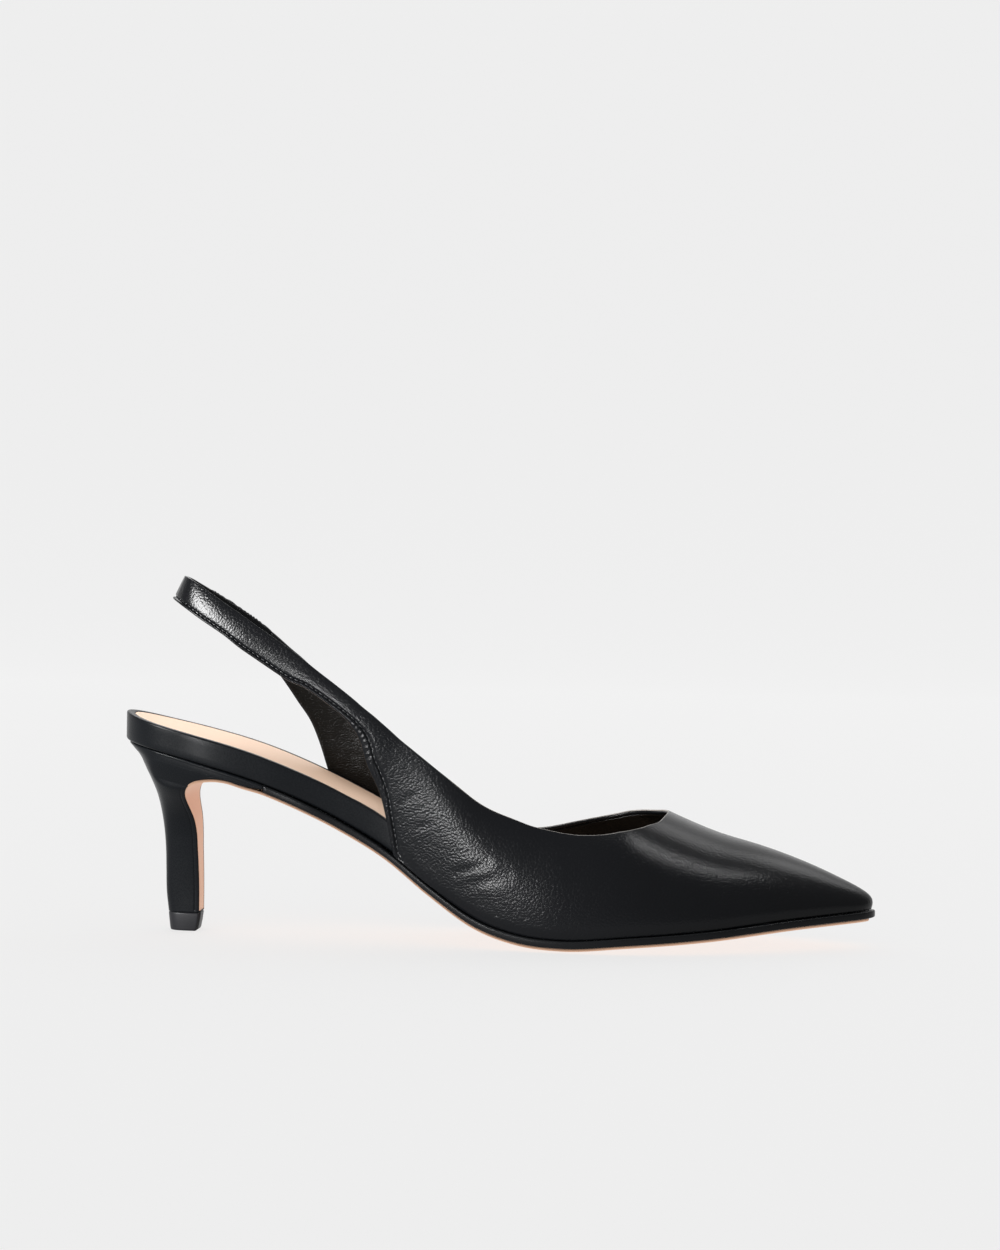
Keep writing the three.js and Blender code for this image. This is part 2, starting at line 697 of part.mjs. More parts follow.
// The crown is only under the tread and fades towards the shank and the toe.
function tread(x) {
  const share = x / shoeLength;
  return THREE.MathUtils.smoothstep(share, 0.3, 0.5) * (1 - 0.6 * THREE.MathUtils.smoothstep(share, 0.75, 1));
}

// The sole's tongue, which turns down the front of the heel and lies in its bed there.
function tongueRings() {
  return heelFront.map((here, i) => {
    const widths = heelWidths(here.wide);
    const raised = i === heelFront.length - 1 ? clearance : 0;
    const near = clearance - here.sunk * tongueDepth;
    const at = (sign, inset, out) => {
      const y = sign * (widths[sign] - inset);
      return new THREE.Vector3(here.x + here.normal.x * out, y, here.z + here.normal.y * out + raised);
    };
    const rim = [
      { inset: tongueInset + edgeRounding, out: near + soleThickness },
      { inset: tongueInset, out: near + soleThickness - edgeRounding },
      { inset: tongueInset, out: near },
    ];
    const outer = rim.map((step) => at(-1, step.inset, step.out));
    const inner = rim.map((step) => at(1, step.inset, step.out)).reverse();
    const under = between(outer[2], inner[0]);
    return turned([...outer, ...under, ...inner, ...between(inner[2], outer[0])], acrossSole / 2);
  });
}

// Points that share the sole's width between two edges.
function between(a, b) {
  const points = [];
  for (let k = 1; k < acrossSole; k += 1) points.push(a.clone().lerp(b, k / acrossSole));
  return points;
}

function outsoleGeometry() {
  const flat = layerPlaces(heelSeatLength, shoeLength - soleInset).map(soleRing);
  return loft([...tongueRings().reverse(), ...flat]);
}

const finishes = {
  blackLeather: { color: 0x1d1e20, roughness: 0.42 },
  nudeLeather: { color: 0xe6c6ab, roughness: 0.6 },
  nudeSole: { color: 0xd9a682, roughness: 0.55 },
  blackRubber: { color: 0x161616, roughness: 0.5 },
};

function piece(name, geometry, finish) {
  const material = new THREE.MeshStandardMaterial({ ...finishes[finish], metalness: 0 });
  const mesh = new THREE.Mesh(geometry, material);
  mesh.name = name;
  return mesh;
}

const pump = new THREE.Group();
pump.add(piece("upper", upperGeometry(), "blackLeather"));
pump.add(piece("strap_elastic", elasticGeometry(), "blackLeather"));
pump.add(piece("footbed", footbedGeometry(), "blackLeather"));
pump.add(piece("sock", sockGeometry(), "nudeLeather"));
pump.add(piece("rand", randGeometry(), "blackLeather"));
pump.add(piece("outsole", outsoleGeometry(), "nudeSole"));
pump.add(piece("heel", heelGeometry(), "blackLeather"));
pump.add(piece("heel_tip", heelTipGeometry(), "blackRubber"));

// The origin lies on the floor, under the middle of the shoe's box.
const box = new THREE.Box3().setFromObject(pump, true);
const middle = box.getCenter(new THREE.Vector3());
pump.position.set(-middle.x, -middle.y, 0);

const shoe = new THREE.Group();
shoe.add(pump);
export default shoe;
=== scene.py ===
# %% [markdown]
# # A slingback pump
# The shoe is a black leather pump with a pointed toe, a strap that slings round the heel and a slim
# covered heel. Its solids come from a CAD model. Here each of them gets the finer surface that a
# shoemaker gives it: folded edges, seams, gathers, soft creases and leather grain. Everything is in
# metres, +X points to the toe, +Y to the inner side of the foot and +Z up.

# %% Load the solids
import math

import bmesh
import bpy
import numpy as np
from mathutils import Matrix, Vector


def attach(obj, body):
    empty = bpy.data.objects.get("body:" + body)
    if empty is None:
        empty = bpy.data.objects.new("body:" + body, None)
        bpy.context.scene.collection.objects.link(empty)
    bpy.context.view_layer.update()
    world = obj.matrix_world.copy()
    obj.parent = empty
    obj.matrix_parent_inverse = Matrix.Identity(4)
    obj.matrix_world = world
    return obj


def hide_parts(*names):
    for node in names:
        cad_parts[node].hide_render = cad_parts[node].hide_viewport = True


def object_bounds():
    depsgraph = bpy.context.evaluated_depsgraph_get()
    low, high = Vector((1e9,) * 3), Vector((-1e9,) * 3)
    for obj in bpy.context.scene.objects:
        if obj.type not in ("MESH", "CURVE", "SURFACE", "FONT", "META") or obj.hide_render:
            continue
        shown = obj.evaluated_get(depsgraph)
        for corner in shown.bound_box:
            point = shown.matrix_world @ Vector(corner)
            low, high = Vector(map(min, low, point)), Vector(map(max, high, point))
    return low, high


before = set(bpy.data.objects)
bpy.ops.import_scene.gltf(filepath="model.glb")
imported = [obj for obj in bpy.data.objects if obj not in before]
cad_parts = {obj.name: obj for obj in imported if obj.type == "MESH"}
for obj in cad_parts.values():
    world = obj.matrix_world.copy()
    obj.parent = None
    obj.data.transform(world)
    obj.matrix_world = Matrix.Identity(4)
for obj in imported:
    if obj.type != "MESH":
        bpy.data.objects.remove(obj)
cad_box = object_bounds()
MM = 0.001


def new_object(name, data):
    made = bpy.data.objects.new(name, data)
    bpy.context.collection.objects.link(made)
    return made


print("solids:", sorted(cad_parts))

# %% [markdown]
# The camera stands where the photographer stood: on the outer side, a little towards the toe and a
# little above the sole, with a long lens, so that near and far edges differ only slightly in size.

# %% Camera
AIM = Vector((-0.25 * MM, 1.5 * MM, 40 * MM))
DISTANCE = 1.2
STAND_YAW, STAND_PITCH = math.radians(4.77), math.radians(4.90)
LOOK_YAW, LOOK_PITCH, ROLL = math.radians(4.79), math.radians(1.88), math.radians(1.0)


def direction(yaw, pitch):
    return Vector((math.sin(yaw) * math.cos(pitch), -math.cos(yaw) * math.cos(pitch), math.sin(pitch)))


def add_camera():
    back = direction(LOOK_YAW, LOOK_PITCH)
    right = Vector((math.cos(LOOK_YAW), math.sin(LOOK_YAW), 0))
    up = back.cross(right)
    rolled_right = right * math.cos(ROLL) + up * math.sin(ROLL)
    rolled_up = up * math.cos(ROLL) - right * math.sin(ROLL)
    data = bpy.data.cameras.new("camera")
    data.sensor_fit = "VERTICAL"
    data.sensor_height = 36
    data.lens = 104.6
    data.clip_start = 0.05
    camera = new_object("camera", data)
    place = AIM + direction(STAND_YAW, STAND_PITCH) * DISTANCE
    turn = Matrix((rolled_right, rolled_up, back)).transposed().to_4x4()
    camera.matrix_world = Matrix.Translation(place) @ turn
    bpy.context.scene.camera = camera
    return camera


camera = add_camera()
print("camera at", [round(v, 3) for v in camera.location])

# %% [markdown]
# A shoe is drawn from a few sizes: its length, the width of the ball, the height of the heel and of the
# instep. These are the sizes that the solids were made from. While a shape is worked out, x runs from
# the back of the seat and y from the middle line of the sole, and at the end it is moved to its place.

# %% Sizes
shoe_length = 248 * MM
ball_width = 76 * MM
seat_width = 45 * MM
heel_height = 63.4 * MM
toe_spring = 8.2 * MM
instep_height = 37.4 * MM
throat_x = 180.3 * MM
outer_quarter_x = 92.3 * MM
inner_quarter_x = 67 * MM
sling_rise = 54 * MM
sling_bow = 0.5 * MM
clearance = 0.3 * MM
rand_thickness = 2.4 * MM
rand_step = 0.5 * MM
sole_thickness = 0.9 * MM
sole_inset = 0.8 * MM
sole_crown = 0.5 * MM
flat_crown = 0.35 * MM
feather_tuck = 0.7 * MM
feather_rise = 4 * MM
tuck_run = 25 * MM
upper_wall = 1.3 * MM
tread_stack = 2 * clearance + rand_thickness + sole_thickness + flat_crown
print("layers under the tread:", round(tread_stack / MM, 2), "mm")

# %% [markdown]
# Each outline is a short table of sections, and a smooth curve is laid through them. `follow` is such a
# curve: it takes its slope at each row from the two neighbours, so it bends gently and never kinks.

# %% Curves through tables
def table(columns, rows):
    data = np.array(rows, dtype=float)
    return {name: data[:, i] for i, name in enumerate(columns)}


def follow(rows, at, key, value):
    place, height = rows[at], rows[key]
    value = np.asarray(value, dtype=float)
    gaps = np.diff(place)
    slopes = np.diff(height) / gaps
    tangents = np.empty_like(height)
    tangents[0], tangents[-1] = slopes[0], slopes[-1]
    tangents[1:-1] = (slopes[:-1] * gaps[1:] + slopes[1:] * gaps[:-1]) / (gaps[:-1] + gaps[1:])
    i = np.clip(np.searchsorted(place, value) - 1, 0, len(place) - 2)
    t = np.clip((value - place[i]) / gaps[i], 0, 1)
    rise = height[i + 1] - height[i]
    start, end = tangents[i] * gaps[i], tangents[i + 1] * gaps[i]
    bend = start + end - 2 * rise
    return height[i] + t * (start + t * (rise - start - bend + t * bend))


def smoothstep(value, low, high):
    t = np.clip((np.asarray(value, dtype=float) - low) / (high - low), 0, 1)
    return t * t * (3 - 2 * t)


def mix(a, b, t):
    return a + (b - a) * t


straight = table(["x", "y"], [[0, 0], [1, 1]])
print("halfway along a straight run:", float(follow(straight, "x", "y", 0.5)))

# %% [markdown]
# The sole's outline from above and the feather line, where upper and footbed meet the sole, carry every
# other piece. A drawn curve could be traced for them, but two tables of shares let the shoe be made longer
# or wider and stay the same shape.

# %% Feather line and outline
sole_line = table(["x", "back", "toe"], [
    [0, 1, 0], [0.1, 0.903, 0], [0.2, 0.779, 0], [0.3, 0.596, 0], [0.36, 0.452, 0],
    [0.42, 0.262, 0], [0.48, 0.1, 0], [0.54, 0.02, 0], [0.595, 0, 0], [0.68, 0, 0.17],
    [0.79, 0, 0.43], [0.89, 0, 0.76], [1, 0, 1],
])
outline = table(["x", "outer", "inner", "seat"], [
    [0, 0, 0, 0], [0.01, 0, 0, 0.213], [0.04, 0, 0, 0.385], [0.1, 0, 0, 0.497],
    [0.2, 0.03, 0.015, 0.49], [0.3, 0.16, 0.13, 0.26], [0.37, 0.28, 0.22, 0.1],
    [0.44, 0.395, 0.3, 0], [0.52, 0.468, 0.372, 0], [0.6, 0.515, 0.444, 0],
    [0.665, 0.52, 0.48, 0], [0.73, 0.485, 0.479, 0], [0.79, 0.421, 0.437, 0],
    [0.85, 0.327, 0.364, 0], [0.91, 0.212, 0.262, 0], [0.96, 0.102, 0.166, 0],
    [0.988, 0.03, 0.104, 0], [1, -0.053, 0.053, 0],
])
outline["turn"] = np.arccos(1 - 2 * outline["x"])


def feather_z(x):
    """Height of the line where upper and footbed meet the sole."""
    share = np.asarray(x) / shoe_length
    back = follow(sole_line, "x", "back", share) * (heel_height - tread_stack)
    return tread_stack + back + follow(sole_line, "x", "toe", share) * toe_spring


def outline_y(x, side):
    """Distance of the sole's outline from the middle line; side -1 is the outer one."""
    turn = np.arccos(1 - 2 * np.clip(x, 0, shoe_length) / shoe_length)
    ball = follow(outline, "turn", "outer" if side < 0 else "inner", turn) * ball_width
    return side * (ball + follow(outline, "turn", "seat", turn) * seat_width)


def edge_point(x, side, inset):
    """The outline at x, moved in square to the edge."""
    x = np.asarray(x, dtype=float)
    step = 0.02 * MM
    a, b = np.maximum(x - step, 0), np.minimum(x + step, shoe_length)
    along_x, along_y = b - a, outline_y(b, side) - outline_y(a, side)
    length = np.hypot(along_x, along_y)
    along_x, along_y = along_x / length, along_y / length
    at_heel, at_toe = x <= 0, x >= shoe_length
    along_x = np.where(at_heel | at_toe, 0, along_x)
    along_y = np.where(at_heel, side, np.where(at_toe, -side, along_y))
    return x + side * along_y * inset, outline_y(x, side) - side * along_x * inset


widest = np.linspace(0.4, 0.9, 400) * shoe_length
to_frame = np.array([cad_box[0][0], cad_box[0][1] - (outline_y(widest, -1).min() - rand_step), 0])
print("moved by", np.round(to_frame / MM, 2), "mm")

# %% [markdown]
# All pieces of this shoe but the stitches are long shells or layers, so they are lofts: rings of points,
# joined from ring to ring and closed at both ends. One helper makes such a mesh, welds what falls together at
# the heel and the toe and turns the faces outwards.

# %% Mesh from rings
def ring_mesh(name, rings, materials, plain_ends=False):
    """rings: array of rings, points, xyz. The ends are closed by one face or by strips across."""
    rings = np.asarray(rings) + to_frame
    count, sides = rings.shape[:2]
    a = np.arange(count - 1)[:, None] * sides
    j = np.arange(sides)[None, :]
    k = (j + 1) % sides
    faces = np.stack([a + j, a + k, a + sides + k, a + sides + j], axis=-1).reshape(-1, 4).tolist()
    ends = [list(range(sides))] if plain_ends else [
        [m, m + 1, sides - 2 - m, sides - 1 - m] for m in range(sides // 2 - 1)]
    faces += [end[::-1] for end in ends] + [[(count - 1) * sides + v for v in end] for end in ends]
    mesh = bpy.data.meshes.new(name)
    mesh.from_pydata(rings.reshape(-1, 3).tolist(), [], faces)
    work = bmesh.new()
    work.from_mesh(mesh)
    bmesh.ops.remove_doubles(work, verts=work.verts, dist=0.004 * MM)
    bmesh.ops.dissolve_degenerate(work, edges=work.edges, dist=0.001 * MM)
    bmesh.ops.recalc_face_normals(work, faces=work.faces)
    if work.calc_volume(signed=True) < 0:
        bmesh.ops.reverse_faces(work, faces=work.faces)
    for face in work.faces:
        face.smooth = True
    work.to_mesh(mesh)
    work.free()
    for material in materials:
        mesh.materials.append(material)
    print(f"{name}: {len(mesh.polygons)} faces")
    return new_object(name, mesh)


def stand_for(piece, node):
    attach(piece, "root")
    if node:
        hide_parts(node)
    return piece


# %% [markdown]
# Leather is a skin: fine cells between a net of small valleys, finer on a taut stretch and a little
# coarser where it is loose. A group of shader nodes makes that grain once, and each leather uses it with
# its own scale and depth. The same group gives a slow change of gloss, because hands and lasts polish
# leather unevenly.

# %% Shader groups
def new_group(name, inputs, outputs):
    group = bpy.data.node_groups.new(name, "ShaderNodeTree")
    for title, kind, value in inputs:
        socket = group.interface.new_socket(title, in_out="INPUT", socket_type=kind)
        if value is not None:
            socket.default_value = value
    for title, kind in outputs:
        group.interface.new_socket(title, in_out="OUTPUT", socket_type=kind)
    return group, group.nodes.new("NodeGroupInput"), group.nodes.new("NodeGroupOutput")


def math_node(tree, operation, a, b):
    node = tree.nodes.new("ShaderNodeMath")
    node.operation = operation
    for socket, value in zip(node.inputs, (a, b)):
        if isinstance(value, (int, float)):
            socket.default_value = value
        else:
            tree.links.new(value, socket)
    return node.outputs[0]


def texture(tree, kind, vector, scale, **settings):
    node = tree.nodes.new(kind)
    for key, value in settings.items():
        if key in {"feature", "distance"}:
            setattr(node, key, value)
        else:
            node.inputs[key].default_value = value
    tree.links.new(vector, node.inputs["Vector"])
    if isinstance(scale, (int, float)):
        node.inputs["Scale"].default_value = scale
    else:
        tree.links.new(scale, node.inputs["Scale"])
    return node


def leather_grain_group():
    floats = "NodeSocketFloat"
    group, start, end = new_group(
        "leather grain",
        [("Vector", "NodeSocketVector", None), ("Cells per metre", floats, 1600), ("Valleys", floats, 1),
         ("Waves", floats, 1), ("Gloss", floats, 0.4), ("Gloss change", floats, 0.1)],
        [("Height", floats), ("Roughness", floats)])
    vector = start.outputs["Vector"]
    cells_per_metre = start.outputs["Cells per metre"]
    wobble = texture(group, "ShaderNodeTexNoise", vector, 900, Detail=2)
    shift = group.nodes.new("ShaderNodeVectorMath")
    shift.operation = "MULTIPLY_ADD"
    shift.inputs[1].default_value = (0.00015, 0.00015, 0.00015)
    group.links.new(wobble.outputs["Color"], shift.inputs[0])
    group.links.new(vector, shift.inputs[2])
    cells = texture(group, "ShaderNodeTexVoronoi", shift.outputs[0], cells_per_metre, feature="F1")
    fine = texture(group, "ShaderNodeTexNoise", vector, math_node(group, "MULTIPLY", cells_per_metre, 2.3),
                   Detail=3, Roughness=0.6)
    slow = texture(group, "ShaderNodeTexNoise", vector, 90, Detail=2)
    patch = texture(group, "ShaderNodeTexNoise", vector, 35, Detail=4, Roughness=0.6)
    hill = math_node(group, "SUBTRACT", 0.6, math_node(group, "POWER", cells.outputs["Distance"], 2))
    height = math_node(group, "MULTIPLY", hill, start.outputs["Valleys"])
    height = math_node(group, "ADD", height, math_node(group, "MULTIPLY", fine.outputs["Fac"], 0.12))
    waves = math_node(group, "MULTIPLY", slow.outputs["Fac"], start.outputs["Waves"])
    height = math_node(group, "ADD", height, waves)
    change = math_node(group, "SUBTRACT", patch.outputs["Fac"], 0.5)
    change = math_node(group, "MULTIPLY", change, start.outputs["Gloss change"])
    valley = math_node(group, "MULTIPLY", math_node(group, "SUBTRACT", 0.6, hill), 0.1)
    rough = math_node(group, "ADD", math_node(group, "ADD", start.outputs["Gloss"], change), valley)
    group.links.new(height, end.inputs["Height"])
    group.links.new(rough, end.inputs["Roughness"])
    return group


grain_group = leather_grain_group()
print("group:", grain_group.name)

# %% [markdown]
# The upper is smooth black leather with a soft sheen. The nude sock and sole are dyed leather as well,
# with less gloss, and the top piece under the heel is rubber. They are one recipe with different values.

# %% Materials
def leather(name, colour, gloss, cells, valleys=1.0, waves=1.0, depth=0.05, change=0.1, specular=0.5,
            tint=None):
    material = bpy.data.materials.new(name)
    material.use_nodes = True
    tree = material.node_tree
    shader = tree.nodes["Principled BSDF"]
    place = tree.nodes.new("ShaderNodeTexCoord").outputs["Object"]
    grain = tree.nodes.new("ShaderNodeGroup")
    grain.node_tree = grain_group
    tree.links.new(place, grain.inputs["Vector"])
    for title, value in (("Cells per metre", cells), ("Valleys", valleys), ("Waves", waves),
                         ("Gloss", gloss), ("Gloss change", change)):
        grain.inputs[title].default_value = value
    bump = tree.nodes.new("ShaderNodeBump")
    bump.inputs["Strength"].default_value = 1
    bump.inputs["Distance"].default_value = depth * MM
    tree.links.new(grain.outputs["Height"], bump.inputs["Height"])
    tree.links.new(bump.outputs["Normal"], shader.inputs["Normal"])
    tree.links.new(grain.outputs["Roughness"], shader.inputs["Roughness"])
    patch = texture(tree, "ShaderNodeTexNoise", place, 60, Detail=4)
    ramp = tree.nodes.new("ShaderNodeMix")
    ramp.data_type = "RGBA"
    ramp.inputs["A"].default_value = (*colour, 1)
    ramp.inputs["B"].default_value = (*(tint or tuple(1.25 * c for c in colour)), 1)
    tree.links.new(patch.outputs["Fac"], ramp.inputs["Factor"])
    tree.links.new(ramp.outputs["Result"], shader.inputs["Base Color"])
    shader.inputs["Specular IOR Level"].default_value = specular
    return material


black_leather = leather("black leather", (0.0022, 0.0024, 0.0029), 0.18, 1350, waves=1, depth=0.046,
                        change=0.06, specular=0.13)
black_lining = leather("black lining", (0.002, 0.0016, 0.0012), 0.18, 1900, waves=8, depth=0.06,
                       specular=0.11)
wrapped_leather = leather("wrapped leather", (0.0026, 0.003, 0.0036), 0.25, 2400, valleys=0.2, waves=0.2,
                          depth=0.025, change=0.03, specular=0.08)
rand_leather = leather("rand leather", (0.0026, 0.0028, 0.0032), 0.24, 3000, valleys=0.1, waves=0.1,
                       depth=0.008, change=0.03, specular=0.11)
nude_leather = leather("nude leather", (0.76, 0.53, 0.38), 0.5, 2600, valleys=0.4, waves=0.5, depth=0.03,
                       tint=(0.78, 0.55, 0.4), specular=0.3)
nude_sole = leather("nude sole", (0.84, 0.51, 0.34), 0.42, 2600, valleys=0.2, waves=0.4, depth=0.03,
                    tint=(0.86, 0.54, 0.37), specular=0.3)
# This edge colour is lighter partly as the edge's own tone and partly as a painted highlight on the rolled
# topline.
edge_tone_and_highlight = leather("edge tone and highlight", (0.11, 0.1, 0.09), 0.35, 4000, valleys=0.1, waves=0.2, depth=0.01,
                     specular=0.4)
tip_rubber = leather("tip rubber", (0.007, 0.007, 0.008), 0.35, 4000, valleys=0.2, waves=0.3, depth=0.02,
                     specular=0.12)
thread = leather("thread", (0.012, 0.0125, 0.0135), 0.3, 6000, valleys=0.2, depth=0.01, specular=0.4)
print("materials:", len(bpy.data.materials))

# %% [markdown]
# The upper is pulled over a last, so every cross-section is one smooth arch: wide at the feather line,
# with a ridge that is higher towards the throat. `full` says how square the shoulders of the arch are.

# %% The last's sections
sections = table(["x", "crest", "ridge", "full"], [
    [0.27, 2.275, -0.013, 5], [0.37, 1.87, -0.013, 5], [0.42, 1.646, -0.007, 4.1],
    [0.485, 1.444, 0, 3], [0.545, 1.361, 0.007, 2.6], [0.605, 1.297, 0.018, 2.4],
    [0.665, 1.193, 0.026, 2.25], [0.727, 0.976, 0.03, 2.15], [0.786, 0.783, 0.037, 2.1],
    [0.847, 0.623, 0.042, 2.05], [0.907, 0.4465, 0.047, 2], [0.956, 0.283, 0.051, 2],
    [0.984, 0.1765, 0.053, 2], [0.9952, 0.115, 0.053, 2], [0.999, 0.067, 0.053, 2],
    [1, 0, 0.053, 2],
])
sections["back"] = -np.sqrt(1 - sections["x"])


print("sections of the last:", len(sections["x"]))


def section_at(x):
    back = -np.sqrt(np.maximum(1 - x / shoe_length, 0))
    crest = follow(sections, "back", "crest", back) * instep_height
    ridge = follow(sections, "back", "ridge", back) * ball_width
    return crest, ridge, follow(sections, "back", "full", back)


def tuck_at(x, corner_x):
    return feather_tuck * smoothstep(x, corner_x, corner_x + tuck_run)


def upper_point(x, turn, side):
    crest, ridge, full = section_at(x)
    out = np.maximum(np.cos(turn), 0) ** (2 / full)
    up = np.maximum(np.sin(turn), 0) ** (2 / full)
    return x, ridge + (outline_y(x, side) - ridge) * out, feather_z(x) + crest * up


def turn_at_height(x, height):
    crest, _, full = section_at(x)
    share = np.clip(height / np.maximum(crest, 0.01 * MM), 0, 1)
    return np.arcsin(share ** (full / 2))


# %% [markdown]
# The strap and the back of each quarter are a ribbon between two edges. Each row of these tables is a
# line across the ribbon, from the middle of the heel to the quarter's lower corner. From there lines run
# from the feather line up to the topline, and fan out round the throat.

# %% Strap, quarters and topline
sling_columns = ["edgeX", "edgeY", "edgeRise", "topX", "topY", "topRise", "bow"]
outer_sling = table(sling_columns, [
    [0.159, 0, 0.917, 0.2, 0, 1.081, 0.4], [0.177, 0.051, 0.911, 0.212, 0.05, 1.083, 0.6],
    [0.211, 0.106, 0.894, 0.245, 0.097, 1.072, 0.8], [0.28, 0.153, 0.851, 0.323, 0.142, 1.026, 1],
    [0.365, 0.192, 0.803, 0.414, 0.181, 0.972, 1], [0.447, 0.223, 0.746, 0.495, 0.213, 0.926, 1],
    [0.596, 0.266, 0.68, 0.645, 0.262, 0.858, 1], [0.68, 0.287, 0.678, 0.724, 0.284, 0.819, 0.8],
    [0.805, 0.318, 0.633, 0.84, 0.313, 0.776, 0.6], [0.847, 0.326, 0.596, 0.883, 0.322, 0.757, 0.6],
    [0.875, 0.329, 0.54, 0.921, 0.329, 0.746, 0.8], [0.9, 0.332, 0.428, 0.97, 0.336, 0.73, 1],
    [0.945, 0.335, 0.315, 1.024, 0.345, 0.718, 0.9], [0.972, 0.338, 0.185, 1.073, 0.354, 0.722, 0.9],
    [1, 0.3405, 0, 1.121, 0.36, 0.7205, 0.9],
])
inner_sling = table(sling_columns, [
    [0.219, 0, 0.917, 0.276, 0, 1.081, 0.4], [0.243, 0.051, 0.907, 0.293, 0.05, 1.074, 0.6],
    [0.291, 0.106, 0.883, 0.337, 0.097, 1.052, 0.8], [0.385, 0.152, 0.828, 0.442, 0.142, 1.003, 1],
    [0.503, 0.192, 0.77, 0.567, 0.181, 0.94, 1], [0.616, 0.225, 0.703, 0.679, 0.215, 0.877, 1],
    [0.694, 0.245, 0.64, 0.769, 0.237, 0.818, 1], [0.754, 0.259, 0.567, 0.836, 0.252, 0.779, 0.8],
    [0.806, 0.268, 0.496, 0.903, 0.264, 0.731, 0.6], [0.87, 0.276, 0.411, 0.97, 0.272, 0.689, 0.6],
    [0.915, 0.281, 0.305, 1.037, 0.277, 0.641, 0.5], [0.951, 0.285, 0.189, 1.097, 0.28, 0.605, 0.3],
    [0.979, 0.288, 0.09, 1.149, 0.281, 0.575, 0.1], [1, 0.2896, 0, 1.194, 0.2804, 0.554, 0],
])
topline_columns = ["along", "x", "turn"]
outer_topline = table(topline_columns, [
    [0, 0.574, 22.63], [0.083, 0.652, 33.5], [0.14, 0.71, 37.7], [0.2, 0.771, 39], [0.27, 0.832, 39.7],
    [0.344, 0.885, 42.2], [0.43, 0.924, 46.8], [0.52, 0.952, 52.6], [0.624, 0.972, 59.5],
    [0.734, 0.987, 66], [0.846, 0.996, 77], [1, 1, 90],
])
inner_topline = table(topline_columns, [
    [0, 0.4437, 5], [0.08, 0.538, 7.5], [0.176, 0.666, 22.3], [0.2275, 0.727, 26.7],
    [0.283, 0.788, 33.6], [0.3435, 0.843, 40.5], [0.41, 0.893, 46.8], [0.485, 0.932, 54.3],
    [0.567, 0.958, 61], [0.66, 0.976, 67.5], [0.765, 0.99, 76], [0.87, 0.997, 83], [1, 1, 90],
])
quarters = {
    -1: (outer_quarter_x, outer_sling, outer_topline),
    1: (inner_quarter_x, inner_sling, inner_topline),
}
for _, sling, _ in quarters.values():
    sling["row"] = np.arange(len(sling["edgeX"]), dtype=float)
last_row = {side: quarters[side][1]["row"][-1] for side in quarters}
print("rows of the ribbon, outer and inner:", [int(row) + 1 for row in last_row.values()])

# %% [markdown]
# One function lays points on the ribbon, another on the lasted quarter and vamp. Both could be patches of
# a surface modelled by hand, but as functions they can be sampled as finely as a seam or a fold needs.

# %% Points on the ribbon and on the last
def sling_points(row, t, side):
    """Points on the ribbon. row: down the rows of its table, t: 0 at its lower edge, 1 at its upper."""
    corner_x, sling, _ = quarters[side]
    ends = []
    for prefix in ("edge", "top"):
        x = follow(sling, "row", prefix + "X", row) * corner_x
        y = side * follow(sling, "row", prefix + "Y", row) * ball_width
        z = feather_z(x) + follow(sling, "row", prefix + "Rise", row) * sling_rise
        ends.append(np.stack([x, y, z], axis=-1))
    points = mix(ends[0], ends[1], t[..., None])
    points[..., 1] += side * follow(sling, "row", "bow", row) * sling_bow * 4 * t * (1 - t)
    return points


def lasted_points(along, t, side):
    """Points on the quarter and vamp. along: 0 at the quarter's corner, 1 at the toe."""
    corner_x, _, topline = quarters[side]
    feather = shoe_length - (1 - along) ** 2 * (shoe_length - corner_x)
    top = follow(topline, "along", "x", along) * throat_x
    top_turn = np.radians(follow(topline, "along", "turn", along))
    top_height = upper_point(top, top_turn, side)[2] - feather_z(top)
    fan = smoothstep(along, 0.08, 0.36)
    straight_x = mix(feather, top, t)
    straight_turn = turn_at_height(straight_x, top_height * t)
    reach_low = np.sqrt((shoe_length - feather) / shoe_length)
    reach_top = np.sqrt((shoe_length - top) / shoe_length)
    p = mix(reach_low, reach_top * np.cos(top_turn), t)
    q = reach_top * np.sin(top_turn) * t
    tip = (np.abs(p) < 1e-9) & (np.abs(q) < 1e-9)
    fan_turn = np.where(tip, math.pi / 2, np.arctan2(q, p))
    x = mix(straight_x, shoe_length * (1 - p * p - q * q), fan)
    _, y, z = upper_point(x, mix(straight_turn, fan_turn, fan), side)
    height = np.maximum(1 - (z - feather_z(x)) / feather_rise, 0)
    tuck = tuck_at(x, corner_x) * height ** 2
    in_x, in_y = edge_point(x, side, tuck)
    out_x, out_y = edge_point(x, side, 0)
    return np.stack([x + in_x - out_x, y + in_y - out_y, z], axis=-1)


strap_back = sling_points(np.array([0.0]), np.array([1.0]), -1)[0]
print("upper edge of the strap at the back:", round(strap_back[2] / MM, 1), "mm high")

# %% [markdown]
# The edge of the strap, the window and the back of the quarter is folded in and sewn down. The seam
# lies 1.3 mm from the edge on the strap and moves away from it down the quarter's curve,
# where the leather between edge and seam is drawn into small gathers.
#
# The sheet is sampled along about eight hundred lines. Across, the points sit close together between the
# lower edge and the seam and near the upper edge, and are spread evenly between them.

# %% The upper as one sheet of points
seam_places = table(["row", "outer", "inner", "gathered"], [
    [0, 1.3, 1.3, 0], [6, 1.3, 1.3, 0], [8, 1.6, 1.8, 0.1], [9, 2.4, 2.2, 0.6], [10, 3.1, 2.2, 0.9],
    [11, 3.3, 2.2, 1], [12, 2.9, 2.0, 1], [13, 2.1, 1.8, 0.5], [14, 1.8, 1.8, 0],
])
LINES_PER_ROW = 12
LASTED_LINES = {-1: 250, 1: 270}
LOW_SHARES = np.array([0, 0.02, 0.09, 0.18, 0.3, 0.42, 0.55, 0.67, 0.76, 0.83, 0.89, 0.95, 1.0, 1.05, 1.11,
                       1.18, 1.27, 1.42, 1.7, 2.1])
HIGH_STEPS = np.array([0, 0.03, 0.12, 0.25, 0.42, 0.8, 1.4, 1.7, 1.85, 2.1]) * MM
